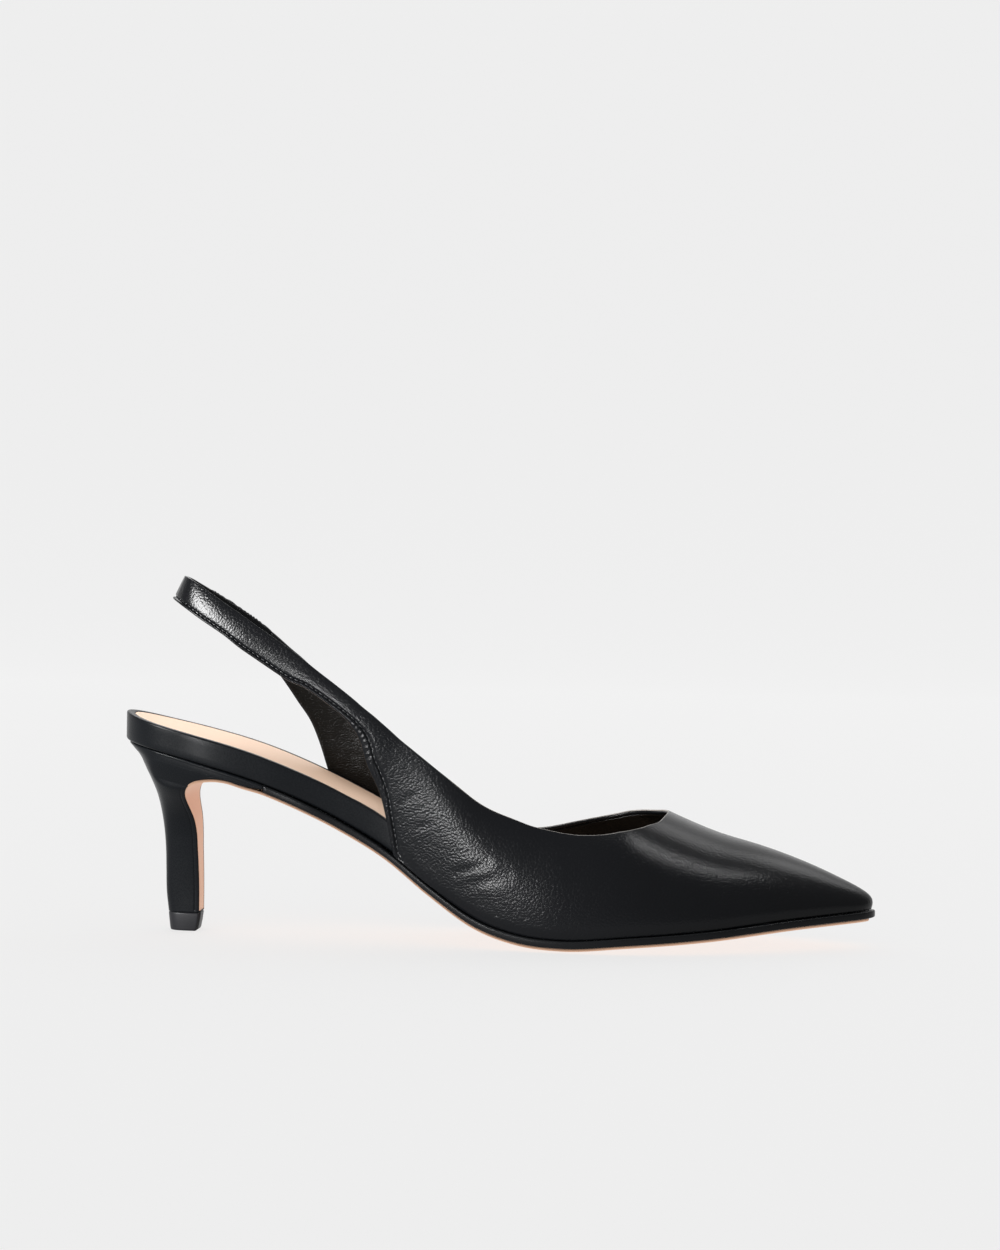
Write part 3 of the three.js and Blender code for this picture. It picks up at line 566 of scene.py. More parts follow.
MIDDLE_STEPS = 24


def seam_from_edge(side, row):
    return follow(seam_places, "row", "outer" if side < 0 else "inner", row) * MM


def across(lengths, seam):
    """Shares across each line, from distances near its ends and even steps between."""
    low = LOW_SHARES[None, :] * np.reshape(seam, (-1, 1)) / lengths[:, None]
    high = 1 - HIGH_STEPS[None, ::-1] / lengths[:, None]
    even = np.linspace(0, 1, MIDDLE_STEPS + 2)[None, 1:-1]
    middle = low[:, -1:] + (high[:, :1] - low[:, -1:]) * even
    return np.concatenate([low, middle, high], axis=1)


def line_lengths(points):
    return np.linalg.norm(np.diff(points, axis=1), axis=2).sum(axis=1)


def sheet_part(function, params, side):
    coarse = np.broadcast_to(np.linspace(0, 1, 12)[None, :], (len(params), 12))
    lengths = line_lengths(function(params[:, None], coarse, side))
    rows = params if function is sling_points else last_row[side]
    return function(params[:, None], across(lengths, seam_from_edge(side, rows)), side)


def sling_rows(start, stop):
    count = int(round((stop - start) * LINES_PER_ROW))
    return np.linspace(start, stop, count + 1)


def lasted_rows(side):
    steps = np.arange(LASTED_LINES[side] + 1) / LASTED_LINES[side]
    return 1 - (1 - steps) ** 0.8


elastic_from, elastic_to = 2.5, 5.0
elastic_span = np.linalg.norm(sling_points(np.array([elastic_from]), np.array([0.0]), 1)
                              - sling_points(np.array([elastic_to]), np.array([0.0]), 1))
strap_parts = [
    sheet_part(sling_points, sling_rows(elastic_to, last_row[1])[:-1], 1),
    sheet_part(lasted_points, lasted_rows(1)[:-1], 1),
    sheet_part(lasted_points, lasted_rows(-1)[::-1], -1),
    sheet_part(sling_points, sling_rows(0, last_row[-1])[::-1][1:], -1),
    sheet_part(sling_points, sling_rows(0, elastic_from)[1:], 1),
]
corners = [len(strap_parts[0]), sum(len(part) for part in strap_parts[:3]) - 1]
sheet = np.concatenate(strap_parts)
print("lines across the upper:", len(sheet), "points each:", sheet.shape[1])

# %% [markdown]
# The ribbon of the quarter and the arch of the vamp meet along one line on each side. On the last the
# leather runs over that line without a fold, so the lines near it are evened out, except at the edges.

# %% Even out the meeting lines
MEETING_REACH = 26
MEETING_PASSES = 220


def soften(points, at, reach, passes):
    near = np.arange(len(points))
    weight = np.clip(1 - np.abs(near - at) / reach, 0, 1)
    window = slice(max(at - reach, 1), min(at + reach, len(points) - 1))
    shares = np.linspace(0, 1, points.shape[1])
    keep_edge = smoothstep(shares, 0.1, 0.5)
    strength = 0.5 * np.minimum(weight * 2, 1)[window, None, None] * keep_edge[None, :, None]
    lo, hi = window.start, window.stop
    for _ in range(passes):
        middle = 0.5 * (points[lo - 1:hi - 1] + points[lo + 1:hi + 1])
        points[lo:hi] += strength * (middle - points[lo:hi])
    return points


for corner in corners:
    soften(sheet, corner, MEETING_REACH, MEETING_PASSES)


def normals_of(points):
    along = np.gradient(points, axis=0)
    up = np.gradient(points, axis=1)
    normal = np.cross(up, along)
    normal /= np.maximum(np.linalg.norm(normal, axis=-1, keepdims=True), 1e-12)
    outward = np.sign(np.sum(normal[..., 1] * points[..., 1]))
    return normal * outward


sheet_normals = normals_of(sheet)
print("evened out:", len(corners), "meeting lines")

# %% [markdown]
# Near the quarter's lower corner the folded edge runs down across the lines, so each point needs its
# own shortest way to that edge. It is found on the edge drawn as a fine polyline.

# %% Distance from the folded edge
def edge_line(side):
    """The folded edge of one side, drawn on past the quarter's lower corner, and its rows."""
    rows = np.linspace(0, last_row[side], 260)
    points = sling_points(rows, np.zeros_like(rows), side)
    onward = points[-1] + (points[-1] - points[-3]) * np.linspace(1, 8, 12)[:, None]
    return np.concatenate([points, onward]), np.concatenate([rows, np.full(12, last_row[side])])


def place_on_line(points, line):
    """Distance of each point from a line of points, and where along its steps the nearest place is."""
    distance, place = np.empty(len(points)), np.empty(len(points))
    for start in range(0, len(points), 4000):
        part = points[start:start + 4000]
        nearest = np.clip(np.linalg.norm(part[:, None] - line[None], axis=2).argmin(axis=1), 1, len(line) - 2)
        best, where = np.full(len(part), np.inf), np.zeros(len(part))
        for first in (nearest - 1, nearest):
            step = line[first + 1] - line[first]
            t = np.clip(np.sum((part - line[first]) * step, axis=1) / np.sum(step * step, axis=1), 0, 1)
            away = np.linalg.norm(part - line[first] - t[:, None] * step, axis=1)
            where = np.where(away < best, first + t, where)
            best = np.minimum(away, best)
        distance[start:start + 4000], place[start:start + 4000] = best, where
    return distance, place


on_outer_side = np.broadcast_to(sheet[:, :1, 1] < 0, sheet.shape[:2])
edge_distance, edge_row, edge_run = (np.empty(sheet.shape[:2]) for _ in range(3))
for side in (-1, 1):
    mine = on_outer_side if side < 0 else ~on_outer_side
    line, rows = edge_line(side)
    steps = np.linalg.norm(np.diff(line, axis=0), axis=1)
    runs = np.concatenate([[0], np.cumsum(steps)])
    edge_distance[mine], place = place_on_line(sheet[mine], line)
    edge_row[mine] = np.interp(place, np.arange(len(line)), rows)
    edge_run[mine] = np.interp(place, np.arange(len(line)), runs)
print("longest way to the folded edge:", round(float(edge_distance.max()) / MM), "mm")

# %% [markdown]
# Now the leather's relief is put together from its causes: edges that roll over, the seam that pulls a
# narrow valley, gathers beside it, and a few soft creases where the foot bends the shoe.

# %% Relief of the upper
leather_thickness = 0.75 * MM
roll = 0.36 * MM
turned_in = 1.75 * MM
turned_thickness = 0.45 * MM
turn_step = 0.12 * MM
seam_width = 0.33 * MM
seam_depth = 0.55 * MM
bead_height = 0.34 * MM
gather_length = 1.8 * MM
gather_height = 0.17 * MM
creases = table(["side", "x1", "z1", "x2", "z2", "width", "depth"], [
    [-1, 113, 24, 124, 27.5, 1.5, 0.15], [-1, 116, 20.5, 130, 24, 2.0, 0.1],
    [-1, 99, 38, 105, 39.5, 1.3, 0.07], [-1, 95, 46, 100, 49, 1.4, 0.05],
    [-1, 121, 31, 133, 36, 2.6, 0.08], [1, 118, 19, 131, 23, 2.4, 0.16],
    [1, 126, 27, 137, 31, 2.4, 0.12], [1, 78, 40, 84, 48, 2.2, 0.14],
])


def rolled(distance):
    """How far a folded edge has turned down at some distance from it."""
    d = np.clip(distance, 0, roll)
    return roll - np.sqrt(np.maximum(roll ** 2 - (roll - d) ** 2, 0))


def crease_relief(points, side_mask):
    height = np.zeros(points.shape[:2])
    for i in range(len(creases["side"])):
        row = {key: creases[key][i] for key in creases}
        start = np.array([row["x1"], row["z1"]]) * MM
        step = np.array([row["x2"], row["z2"]]) * MM - start
        flat = points[..., [0, 2]] - start
        t = np.clip(flat @ step / (step @ step), 0, 1)
        distance = np.linalg.norm(flat - t[..., None] * step, axis=-1) / (row["width"] * MM)
        here = side_mask if row["side"] < 0 else ~side_mask
        trough = np.exp(-distance ** 2) - 0.5 * np.exp(-((distance - 1.6) / 0.8) ** 2)
        height -= here * trough * row["depth"] * MM * np.sin(math.pi * np.clip(0.15 + 0.7 * t, 0, 1))
    return height


from_low = np.concatenate([np.zeros((len(sheet), 1)),
                           np.cumsum(np.linalg.norm(np.diff(sheet, axis=1), axis=2), axis=1)], axis=1)
from_top = from_low[:, -1:] - from_low
first_lasted, last_lasted = corners
is_sling = (np.arange(len(sheet)) < first_lasted) | (np.arange(len(sheet)) > last_lasted)
folded_distance = np.where(is_sling[:, None], edge_distance, np.maximum(edge_distance, 1 * MM))
seam_at = np.where(on_outer_side, seam_from_edge(-1, edge_row), seam_from_edge(1, edge_row))
gathered = follow(seam_places, "row", "gathered", edge_row) * np.where(on_outer_side, 1, 0.4)
seam = np.exp(-((edge_distance - seam_at) / seam_width) ** 2)
seam_fade = np.where(is_sling[:, None], 1, smoothstep(sheet[..., 2] - feather_z(sheet[..., 0]), 0, 1 * MM))

to_seam = np.clip(edge_distance / seam_at, 0, 1.8)
gather_window = np.exp(-((to_seam - 0.7) / 0.45) ** 2)
gather_phase = 2 * math.pi * edge_run / gather_length + 1.6 * np.sin(edge_run / (2.7 * MM)) + 2.1 * to_seam
gather_wave = np.sin(gather_phase) + 0.4 * np.sin(1.9 * gather_phase + 1)
gathers = gathered * gather_window * gather_wave * gather_height

relief = crease_relief(sheet, on_outer_side)
bead = bead_height * np.maximum(1 - (2 * np.minimum(to_seam, 1) - 1) ** 2, 0) * (1 - 0.5 * gathered)
relief += gathers + (bead - seam * seam_depth) * seam_fade
relief -= rolled(folded_distance) + rolled(from_top)
leather_face = sheet + sheet_normals * relief[..., None]
turned_edge = 1 - smoothstep(from_top, turned_in, turned_in + turn_step)
back_depth = leather_thickness + turned_thickness * turned_edge
back_depth -= np.minimum(rolled(folded_distance), leather_thickness / 2) + rolled(from_top)
high_places = sheet.shape[1] - len(HIGH_STEPS)
inner_places = np.unique([0, 1, 2, 3, 4, *range(8, high_places, 5), *range(high_places, sheet.shape[1])])
leather_back = (sheet - sheet_normals * back_depth[..., None])[:, inner_places]
upper = ring_mesh("leather_upper", np.concatenate([leather_face, leather_back[:, ::-1]], axis=1),
                  [black_leather], plain_ends=True)
stand_for(upper, "upper")

# %% [markdown]
# Inside, the upper's top edge is turned in, and a thin smooth leather lines the rest. At the folded
# edge it stops just short of the fold.

# %% Lining
lining_gap = 0.03 * MM
lining_ends = (0.55 * MM, turned_in + 0.05 * MM)


def lining_rings():
    steps = np.concatenate([[0, 0.12, 0.3, 0.6, 1.2], np.arange(2.4, 60, 2.4)]) * MM
    rings = []
    for line, normal, d in zip(sheet, sheet_normals, from_low):
        length = d[-1] - sum(lining_ends)
        t = np.minimum(steps / max(length, 1e-6), 0.5)
        t = np.concatenate([t, 1 - t[::-1]])
        at = lining_ends[0] + t * length
        point = np.stack([np.interp(at, d, line[:, axis]) for axis in range(3)], axis=1)
        out = np.stack([np.interp(at, d, normal[:, axis]) for axis in range(3)], axis=1)
        from_edge = np.minimum(t, 1 - t) * length
        soft = 0.18 * MM * np.clip(1 - from_edge / (0.3 * MM), 0, 1) ** 2
        front = point - out * (leather_thickness + lining_gap + soft)[:, None]
        back = point - out * (upper_wall - soft)[:, None]
        rings.append(np.concatenate([front, back[::-1]]))
    return np.array(rings)


lining = ring_mesh("lining", lining_rings(), [black_lining])
stand_for(lining, "upper")

# %% [markdown]
# Round the throat the edge is folded over a fine tape. Its lighter colour is partly the edge's own tone and
# partly a painted highlight for the light that the rolled edge catches, so it shows as a thin lighter line.

# %% Tape in the topline
tape_size = 0.2 * MM
tape_depth = 0.36 * MM


def tape_rings():
    turns = np.linspace(0, 2 * math.pi, 9)[:-1]
    chosen = np.arange(first_lasted + 6, last_lasted - 5)
    middle = sheet[chosen, -1] - sheet_normals[chosen, -1] * tape_depth
    along = np.gradient(middle, axis=0)
    up = sheet[chosen, -1] - sheet[chosen, -3]
    up /= np.linalg.norm(up, axis=1)[:, None]
    across_edge = np.cross(along, up)
    across_edge /= np.linalg.norm(across_edge, axis=1)[:, None]
    from_end = np.minimum(np.arange(len(chosen)), np.arange(len(chosen))[::-1])
    size = tape_size * np.sqrt(np.clip(from_end / 12, 0.1, 1))[:, None]
    return np.stack([middle + up * (math.cos(a) - 0.25) * size + across_edge * 1.3 * math.sin(a) * size
                     for a in turns], axis=1)


tape = ring_mesh("topline_tape", tape_rings(), [edge_tone_and_highlight], plain_ends=True)
stand_for(tape, "upper")

# %% [markdown]
# On the inner side the strap holds an elastic between two layers of leather that are gathered over it.
# The gathers are not quite even: they lean, and some are deeper than others.

# %% Gathered elastic
elastic_wall = 2.3 * MM
leather_under = 0.7 * MM
overlap = 0.035  # of the elastic's length, tucked under the strap at each end
gather_count = 13


def elastic_rings():
    gap = 1.5 * clearance * (elastic_to - elastic_from) / elastic_span
    t = np.linspace(-overlap, 1 + overlap, 281)[:, None]
    rows = mix(elastic_from + gap, elastic_to - gap, t)
    width = np.concatenate([[0, 0.03, 0.08, 0.15], np.linspace(0.22, 0.78, 12),
                            [0.85, 0.92, 0.97, 1]])[None, :]
    points = sling_points(rows, np.broadcast_to(width, (len(rows), width.shape[1])), 1)
    normal = normals_of(points)
    lean = 0.12 * np.sin(3.1 * math.pi * t) * (width - 0.5)
    phase = 2 * math.pi * gather_count * (t + lean) + 0.7 * np.sin(9 * t)
    deep = 0.75 + 0.25 * np.sin(17 * t + 2 * width)
    fade = smoothstep(np.minimum(t, 1 - t), 0, 0.04)
    outside = smoothstep(np.minimum(t, 1 - t), -0.02, 0.015)
    puff = 0.5 * (1 + np.sin(phase)) ** 0.8 * deep * fade
    side_round = np.sqrt(np.clip(1 - np.abs(2 * width - 1) ** 6, 0, 1))
    rise = mix(-0.35, 0.05 + 0.6 * puff * (0.35 + 0.65 * side_round), outside) * MM
    front = points + normal * rise[..., None]
    front[..., 2] += (width - 0.5) * 0.5 * puff * MM * fade
    depth = elastic_wall - leather_under
    thick = mix(leather_under, (depth - 0.25 * MM) * side_round + 0.25 * MM, outside)
    back = points - normal * thick[..., None]
    return np.concatenate([front, back[:, ::-1]], axis=1)


strap_elastic = ring_mesh("gathered_strap", elastic_rings(), [black_leather])
stand_for(strap_elastic, "strap_elastic")

# %% [markdown]
# The footbed is one wrapped board: thick behind, where its edge shows, and thin in front, where the
# upper hides it. The leather rolls over the rim, and inside the rim lies the nude sock.

# %% Layers under the foot
footbed_thickness = 8.8 * MM
board_thickness = 2.3 * MM
footbed_rounding = 2 * MM
lower_rounding = 0.8 * MM
rim_share = 0.35
sock_margin = 0.6 * MM
sock_sunk = 1 * MM
sock_thickness = 0.9 * MM
heel_seat_length = 49 * MM
seat_inset = 1.3 * MM
footbed_end = shoe_length - 13 * MM
footbed_depth = table(["x", "deep", "thin"], [
    [0, 1.07, 0], [0.04, 0.99, 0], [0.15, 0.98, 0], [0.3, 1.0, 0], [0.36, 1.05, 0], [0.42, 0.88, 0],
    [0.48, 0.58, 0.1], [0.55, 0.18, 0.6], [0.62, 0.03, 0.95], [0.7, 0, 1], [1, 0, 1],
])


def places_along(start, stop, count):
    """Places along the shoe, closer together at the back of the seat and at the toe."""
    turns = np.linspace(*np.arccos(1 - 2 * np.array([start, stop]) / shoe_length), count)
    return shoe_length * (1 - np.cos(turns)) / 2


def between(a, b, spread, height):
    """Points on the straight way from a to b, each at its own height."""
    places = [(mix(a[0], b[0], t), mix(a[1], b[1], t)) for t in spread]
    return [(px, py, height(px, py)) for px, py in places]


def layer_rings(places, profile, across_count, bottom_of=None):
    """Cross-sections. profile(x): insets and height functions from the bottom edge up and inwards."""
    rings = []
    spread = np.linspace(0, 1, across_count + 2)[1:-1]
    for x in places:
        steps = profile(x)
        outer = [edge_point(x, -1, inset) for inset, _ in steps]
        inner = [edge_point(x, 1, inset) for inset, _ in steps]
        left = [(px, py, height(px, py)) for (px, py), (_, height) in zip(outer, steps)]
        right = [(px, py, height(px, py)) for (px, py), (_, height) in zip(inner, steps)]
        over = between(outer[-1], inner[-1], spread, steps[-1][1])
        under = between(outer[0], inner[0], spread, bottom_of(x) if bottom_of else steps[0][1])
        half = len(under) // 2
        rings.append(under[:half][::-1] + left + over + right[::-1] + under[half:][::-1])
    return np.array(rings, dtype=float)


def footbed_top(x):
    share = np.asarray(x) / shoe_length
    deep = follow(footbed_depth, "x", "deep", share) * footbed_thickness
    return feather_z(x) + deep + follow(footbed_depth, "x", "thin", share) * board_thickness


print("footbed at the back:", round(float(footbed_top(0) - feather_z(0)) / MM, 1), "mm thick")

# %% [markdown]
# The wrapped leather turns round the board's lower edge and over its rim in two soft rounds. A bevel on
# a plain board would do for even thickness, but this one thins towards the ball, and so do its rounds.

# %% Footbed
FOOTBED_RINGS = 240


def footbed_inset(x):
    inside = smoothstep(x, 0.2 * inner_quarter_x, 0.9 * inner_quarter_x)
    return (upper_wall + 2 * clearance) * inside + tuck_at(x, inner_quarter_x)


def rim_rounding(x):
    return np.minimum(footbed_rounding, 0.45 * (footbed_top(x) - feather_z(x)))


def rounded(inset, height_at, radius, upwards, steps=5):
    """A quarter-round between a side at `inset` and a face at height_at."""
    out = []
    for k in range(steps + 1):
        turn = math.pi / 2 * k / steps
        step_in, step_z = radius * (1 - math.cos(turn)), radius * (1 - math.sin(turn))
        if upwards:
            out.append((inset + step_in, lambda x, y, s=step_z: height_at(x) - s))
        else:
            out.append((inset + step_z, lambda x, y, s=step_in: height_at(x) + s))
    return out


def footbed_profile(x):
    inset, r = footbed_inset(x), float(rim_rounding(x))
    steps = rounded(inset, feather_z, lower_rounding, False)
    for share in (0.25, 0.5, 0.75):
        def on_side(px, py, share=share):
            return mix(feather_z(px) + lower_rounding, footbed_top(px) - rim_share * r, share)
        steps.append((inset, on_side))
    steps += rounded(inset, footbed_top, rim_share * r, True, 8)
    lip = inset + r + sock_margin
    steps.append((lip - 0.15 * MM, lambda px, py: footbed_top(px)))
    steps.append((lip, lambda px, py: footbed_top(px) - 0.15 * MM))
    steps.append((lip, lambda px, py: footbed_top(px) - sock_sunk))
    return steps


footbed_places = places_along(0, footbed_end, FOOTBED_RINGS)
footbed = ring_mesh("wrapped_footbed", layer_rings(footbed_places, footbed_profile, 8), [wrapped_leather])
stand_for(footbed, "footbed")

# %% [markdown]
# The sock is a thin nude leather, let into the footbed with a hair's width of play. It is a solid sheet
# with a soft upper edge and not only a colour on the board, because its edge catches the light.

# %% Sock
SOCK_RINGS = 220
sock_play = 0.12 * MM


def sock_profile(x):
    inset = footbed_inset(x) + float(rim_rounding(x)) + sock_margin + sock_play

    def bottom(px):
        return footbed_top(px) - sock_sunk + 0.1 * MM

    def top(px):
        return bottom(px) + sock_thickness - 0.05 * MM
    steps = [(inset, lambda px, py: bottom(px)), (inset, lambda px, py: mix(bottom(px), top(px), 0.4))]
    steps += rounded(inset, top, 0.5 * MM, True, 5)
    steps.append((inset + 1.2 * MM, lambda px, py: top(px) + 0.04 * MM))
    return steps


sock = ring_mesh("nude_sock", layer_rings(places_along(0, footbed_end, SOCK_RINGS), sock_profile, 24),
                 [nude_leather])
stand_for(sock, "sock")

# %% [markdown]
# Between upper and sole runs the rand, a thin dyed edge that stands a little proud. It could be a strip
# swept along the outline, but as a layer of the same loft it keeps its thickness round the pointed toe.

# %% Rand
RAND_RINGS = 220
rand_lower_round = 0.5 * MM
rand_upper_round = 0.6 * MM


def rand_top(x):
    return feather_z(x) - clearance


def rand_bottom(x):
    return rand_top(x) - rand_thickness


def sole_top(x):
    return rand_bottom(x) - 0.1 * MM


def layer_inset(x, at_seat, in_front):
    return mix(at_seat, in_front, smoothstep(x, heel_seat_length, inner_quarter_x))


def rand_profile(x):
    inset = float(layer_inset(x, seat_inset, -rand_step))
    lower = rounded(inset, rand_bottom, rand_lower_round, False)
    return lower + rounded(inset, rand_top, rand_upper_round, True)


rand_places = places_along(heel_seat_length, shoe_length, RAND_RINGS)
rand = ring_mesh("dyed_rand", layer_rings(rand_places, rand_profile, 4), [rand_leather])
stand_for(rand, "rand")

# %% [markdown]
# The sole is a thin leather. It has a crown under the tread that is worn to a flat where it touches the
# floor, and it ends in a tongue down the heel. Its profile is set here, and the mesh follows the heel's,
# because the tongue lies in the heel's bed.

# %% The sole's profile
def tread(x):
    """The crown lies only under the tread and fades towards the shank and the toe."""
    share = x / shoe_length
    return smoothstep(share, 0.3, 0.5) * (1 - 0.6 * smoothstep(share, 0.75, 1))


sole_corner = 0.4 * MM
heel_foot_width = 10.6 * MM
heel_foot_depth = 11 * MM
tip_height = 6 * MM
breast_x = 25.7 * MM
breast_lip = 0.7 * MM
tongue_depth = clearance + sole_thickness
tongue_inset = breast_lip + clearance
ledge_height = 0.4 * MM
flange_depth = 1.2 * MM
seat_back_x = 1.2 * MM


def sole_steps(x):
    inset = float(layer_inset(x, seat_inset + tongue_inset, sole_inset))
    corner = rounded(inset, lambda px: sole_top(px) - sole_thickness, sole_corner, False)
    return corner + [(inset, lambda px, py: sole_top(px))]


def sole_bottom(x):
    inset = float(layer_inset(x, seat_inset + tongue_inset, sole_inset))
    inner, outer = edge_point(x, 1, inset)[1], edge_point(x, -1, inset)[1]
    middle, half = (inner + outer) / 2, max((inner - outer) / 2, 0.1 * MM)

    def bottom(px, py):
        crown = sole_crown * max(1 - ((py - middle) / half) ** 2, 0)
        return max(sole_top(px) - sole_thickness - crown * tread(px), 0)
    return bottom


ball = 0.6 * shoe_length
under_ball = float(sole_bottom(ball)(ball, 0))
print("sole's underside on the middle line at the ball:", round(under_ball / MM, 2), "mm")

# %% [markdown]
# The heel is a slim block, wrapped in smooth black leather. It could be a box drawn out and smoothed,
# but its front and its back need lines of their own, so it is a loft too. Its rings run round the back
# from one front corner to the other. The sole's tongue lies in a shallow bed in its front, between two
# lips.

# %% Heel rings
heel_rings = table(["frontX", "frontZ", "backX", "backZ", "wide", "sunk"], [
    [0.86, 0.785, 0.06, 0.952, 0.985, 0], [0.735, 0.812, 0.088, 0.93, 0.975, 0],
    [0.655, 0.817, 0.108, 0.908, 0.96, 0], [0.586, 0.812, 0.124, 0.885, 0.93, 0],
    [0.522, 0.796, 0.145, 0.853, 0.87, 0.3], [0.475, 0.767, 0.172, 0.812, 0.77, 0.7],
    [0.455, 0.726, 0.2, 0.762, 0.62, 1], [0.46, 0.688, 0.22, 0.716, 0.48, 1],
    [0.475, 0.647, 0.235, 0.668, 0.35, 1], [0.493, 0.6, 0.248, 0.615, 0.23, 1],
    [0.508, 0.52, 0.265, 0.525, 0.105, 1], [0.513, 0.435, 0.275, 0.435, 0.055, 1],
    [0.52, 0.32, 0.28, 0.32, 0.02, 1], [0.524, 0.2, 0.285, 0.2, 0, 1],
])
heel_foot_z = tip_height + 0.1 * MM


def heel_line(face, foot_x):
    """The heel's front or back seen from the side, from the seat down to the foot."""
    x, z = heel_rings[face + "X"] * heel_seat_length, heel_rings[face + "Z"] * heel_height
    return np.append(np.stack([x, z], axis=1), [[foot_x, heel_foot_z + ledge_height]], axis=0)


breast = heel_line("front", breast_x)
spine = heel_line("back", breast_x - heel_foot_depth)
wide = np.append(heel_rings["wide"], 0)
sunk = np.append(heel_rings["sunk"], 1)
ends = np.concatenate([breast[:1], breast, breast[-1:]])
facing = np.stack([ends[:-2, 1] - ends[2:, 1], ends[2:, 0] - ends[:-2, 0]], axis=1)
facing /= np.linalg.norm(facing, axis=1)[:, None]
print("rows down the heel:", len(breast))

# %% [markdown]
# Each ring is hollow in front, for the tongue's bed, and rolls a narrow lip round each front corner, where
# the cover is turned in. A fine groove beside the lip stands for the edge of that cover.

# %% A ring of the heel
NEAR_BREAST = np.array([2.2, 1.7, 1.45, 1.3, 1.2, 1.1, 1.0, 0.85, 0.65, 0.5]) * MM
cover_seam_depth = 0.16 * MM
cover_seam_place = 1.2 * MM


def heel_widths(share):
    seat = [abs(float(outline_y(heel_seat_length, side))) - seat_inset for side in (-1, 1)]
    return {side: mix(heel_foot_width / 2, w, share) for side, w in zip((-1, 1), seat)}


def heel_ring(front, back, widths, z_at, normal, bed_depth, groove_depth=1):
    """Round the outer side, across the back and up the inner side, with a rolled lip at each front end."""
    turns = np.linspace(0, math.pi / 2, 34)
    run = front - back
    near = NEAR_BREAST * min(run / (9 * MM), 1)
    round_back = (1 - np.cos(turns[:-1])) / (1 - math.cos(turns[-2]))
    fore = np.concatenate([round_back * (1 - 1.15 * near[0] / run), 1 - near / run, [1]])
    r = breast_lip / 2
    ring = {}
    for side in (-1, 1):
        seat_x = heel_seat_length * fore
        shape = outline_y(seat_x, side) / outline_y(heel_seat_length, side)
        x = mix(back, front - r * normal[0], fore)
        groove = cover_seam_depth * np.exp(-(((1 - fore) * run / cover_seam_place - 1) / 0.12) ** 2)
        groove = groove * groove_depth
        points = [(px, side * (widths[side] * w - g), z_at(px, f) - r * normal[1] * f)
                  for px, w, g, f in zip(x, shape, groove, fore)]
        for angle in np.linspace(0, math.pi, 9)[1:]:
            out = -r + r * math.sin(angle)
            y = side * (widths[side] - r * (1 - math.cos(angle)))
            points.append((front + normal[0] * out, y, z_at(front, 1) + normal[1] * out))
        y = side * (widths[side] - breast_lip)
        points.append((front - normal[0] * bed_depth, y, z_at(front, 1) - normal[1] * bed_depth))
        ring[side] = points
    return ring[-1][::-1] + ring[1][1:]


def through(rings, steps):
    """A smooth run of rings through the given ones, `steps` to each span."""
    rings = np.asarray(rings)
    middles = rings.mean(axis=1)
    at = np.concatenate([[0], np.cumsum(np.linalg.norm(np.diff(middles, axis=0), axis=1))])
    fine = np.unique(np.concatenate([np.linspace(a, b, steps + 1) for a, b in zip(at[:-1], at[1:])]))
    rows = {"at": at}
    flat = rings.reshape(len(rings), -1)
    columns = [follow({**rows, "v": flat[:, i]}, "at", "v", fine) for i in range(flat.shape[1])]
    return np.stack(columns, axis=1).reshape(len(fine), *rings.shape[1:])


print("half widths of the seat:", [round(w / MM, 1) for w in heel_widths(1).values()], "mm")

# %% [markdown]
# The seat is a low rim with rounded edges, and below it the block narrows quickly. Its sides are drawn in
# to one steady curve there, a little inside the solid, so that they shade evenly.

# %% Seat and block
seat_edge = ((0.8, 0), (0.4, 0.05), (0.16, 0.16), (0.04, 0.32), (0, 0.5))  # inset in mm, share down
below_seat_bend = 35  # per metre, how quickly the sides draw in
below_seat_reach = 8 * MM
below_seat_blend = 0.3 * MM


def under_seat(x):
    return float(feather_z(x)) - clearance


def seat_rings():
    """The flange that carries the footbed: a low rim with rounded edges."""
    rings = []
    flat_normal = (1, 0)
    for inset, down in seat_edge:
        widths = {side: w - inset * MM for side, w in heel_widths(1).items()}

        def level(x, fore, down=down):
            return under_seat(x) - down * mix(flange_depth, rand_thickness + clearance, fore)
        rings.append(heel_ring(heel_seat_length - 0.02 * MM, seat_back_x + inset * MM, widths, level,
                               flat_normal, 0, 0))
    return rings


def body_rings():
    rings = []
    for front, back, share, sink, normal in zip(breast, spine, wide, sunk, facing):
        def level(x, fore, front=front, back=back):
            return mix(back[1], front[1], fore)
        rings.append(heel_ring(front[0], back[0], heel_widths(share), level, normal,
                               sink * (tongue_depth - 0.2 * MM)))
    return rings


def below_seat(rings):
    """The heel's sides draw in below the seat. They end up to 1.4 mm inside the solid there."""
    x, y, z = (rings[..., i] for i in range(3))
    share = np.clip((x - seat_back_x) / (heel_seat_length - seat_back_x), 0, 1)
    down = np.clip(feather_z(x) - 0.9 * MM - z, 0, below_seat_reach)
    for side, width in heel_widths(1).items():
        rim = width * outline_y(share * heel_seat_length, side) / outline_y(heel_seat_length, side)
        room = rim - below_seat_bend * down ** 2
        spare = room - y * side
        held = side * (room - 0.5 * (spare + np.sqrt(spare ** 2 + below_seat_blend ** 2)))
        y = np.where(y * side > 0, mix(y, held, smoothstep(share, 0.02, 0.2)), y)
    return np.stack([x, y, z], axis=-1)


def heel_mesh_rings():
    seat, body = seat_rings(), body_rings()
    smooth = below_seat(through([seat[-1]] + body, 7))
    foot = []
    for inset, z in ((0, 0.2), (0.1, 0.05), (0.3, 0)):
        widths = {side: w - inset * MM for side, w in heel_widths(0).items()}
        foot.append(heel_ring(breast_x - inset * MM, breast_x - heel_foot_depth + inset * MM, widths,
                              lambda x, fore, z=z: heel_foot_z + z * MM, (1, 0), 0, 0))
    return np.concatenate([seat[:-1], smooth, foot])


heel = ring_mesh("covered_heel", heel_mesh_rings(), [wrapped_leather], plain_ends=True)
stand_for(heel, "heel")

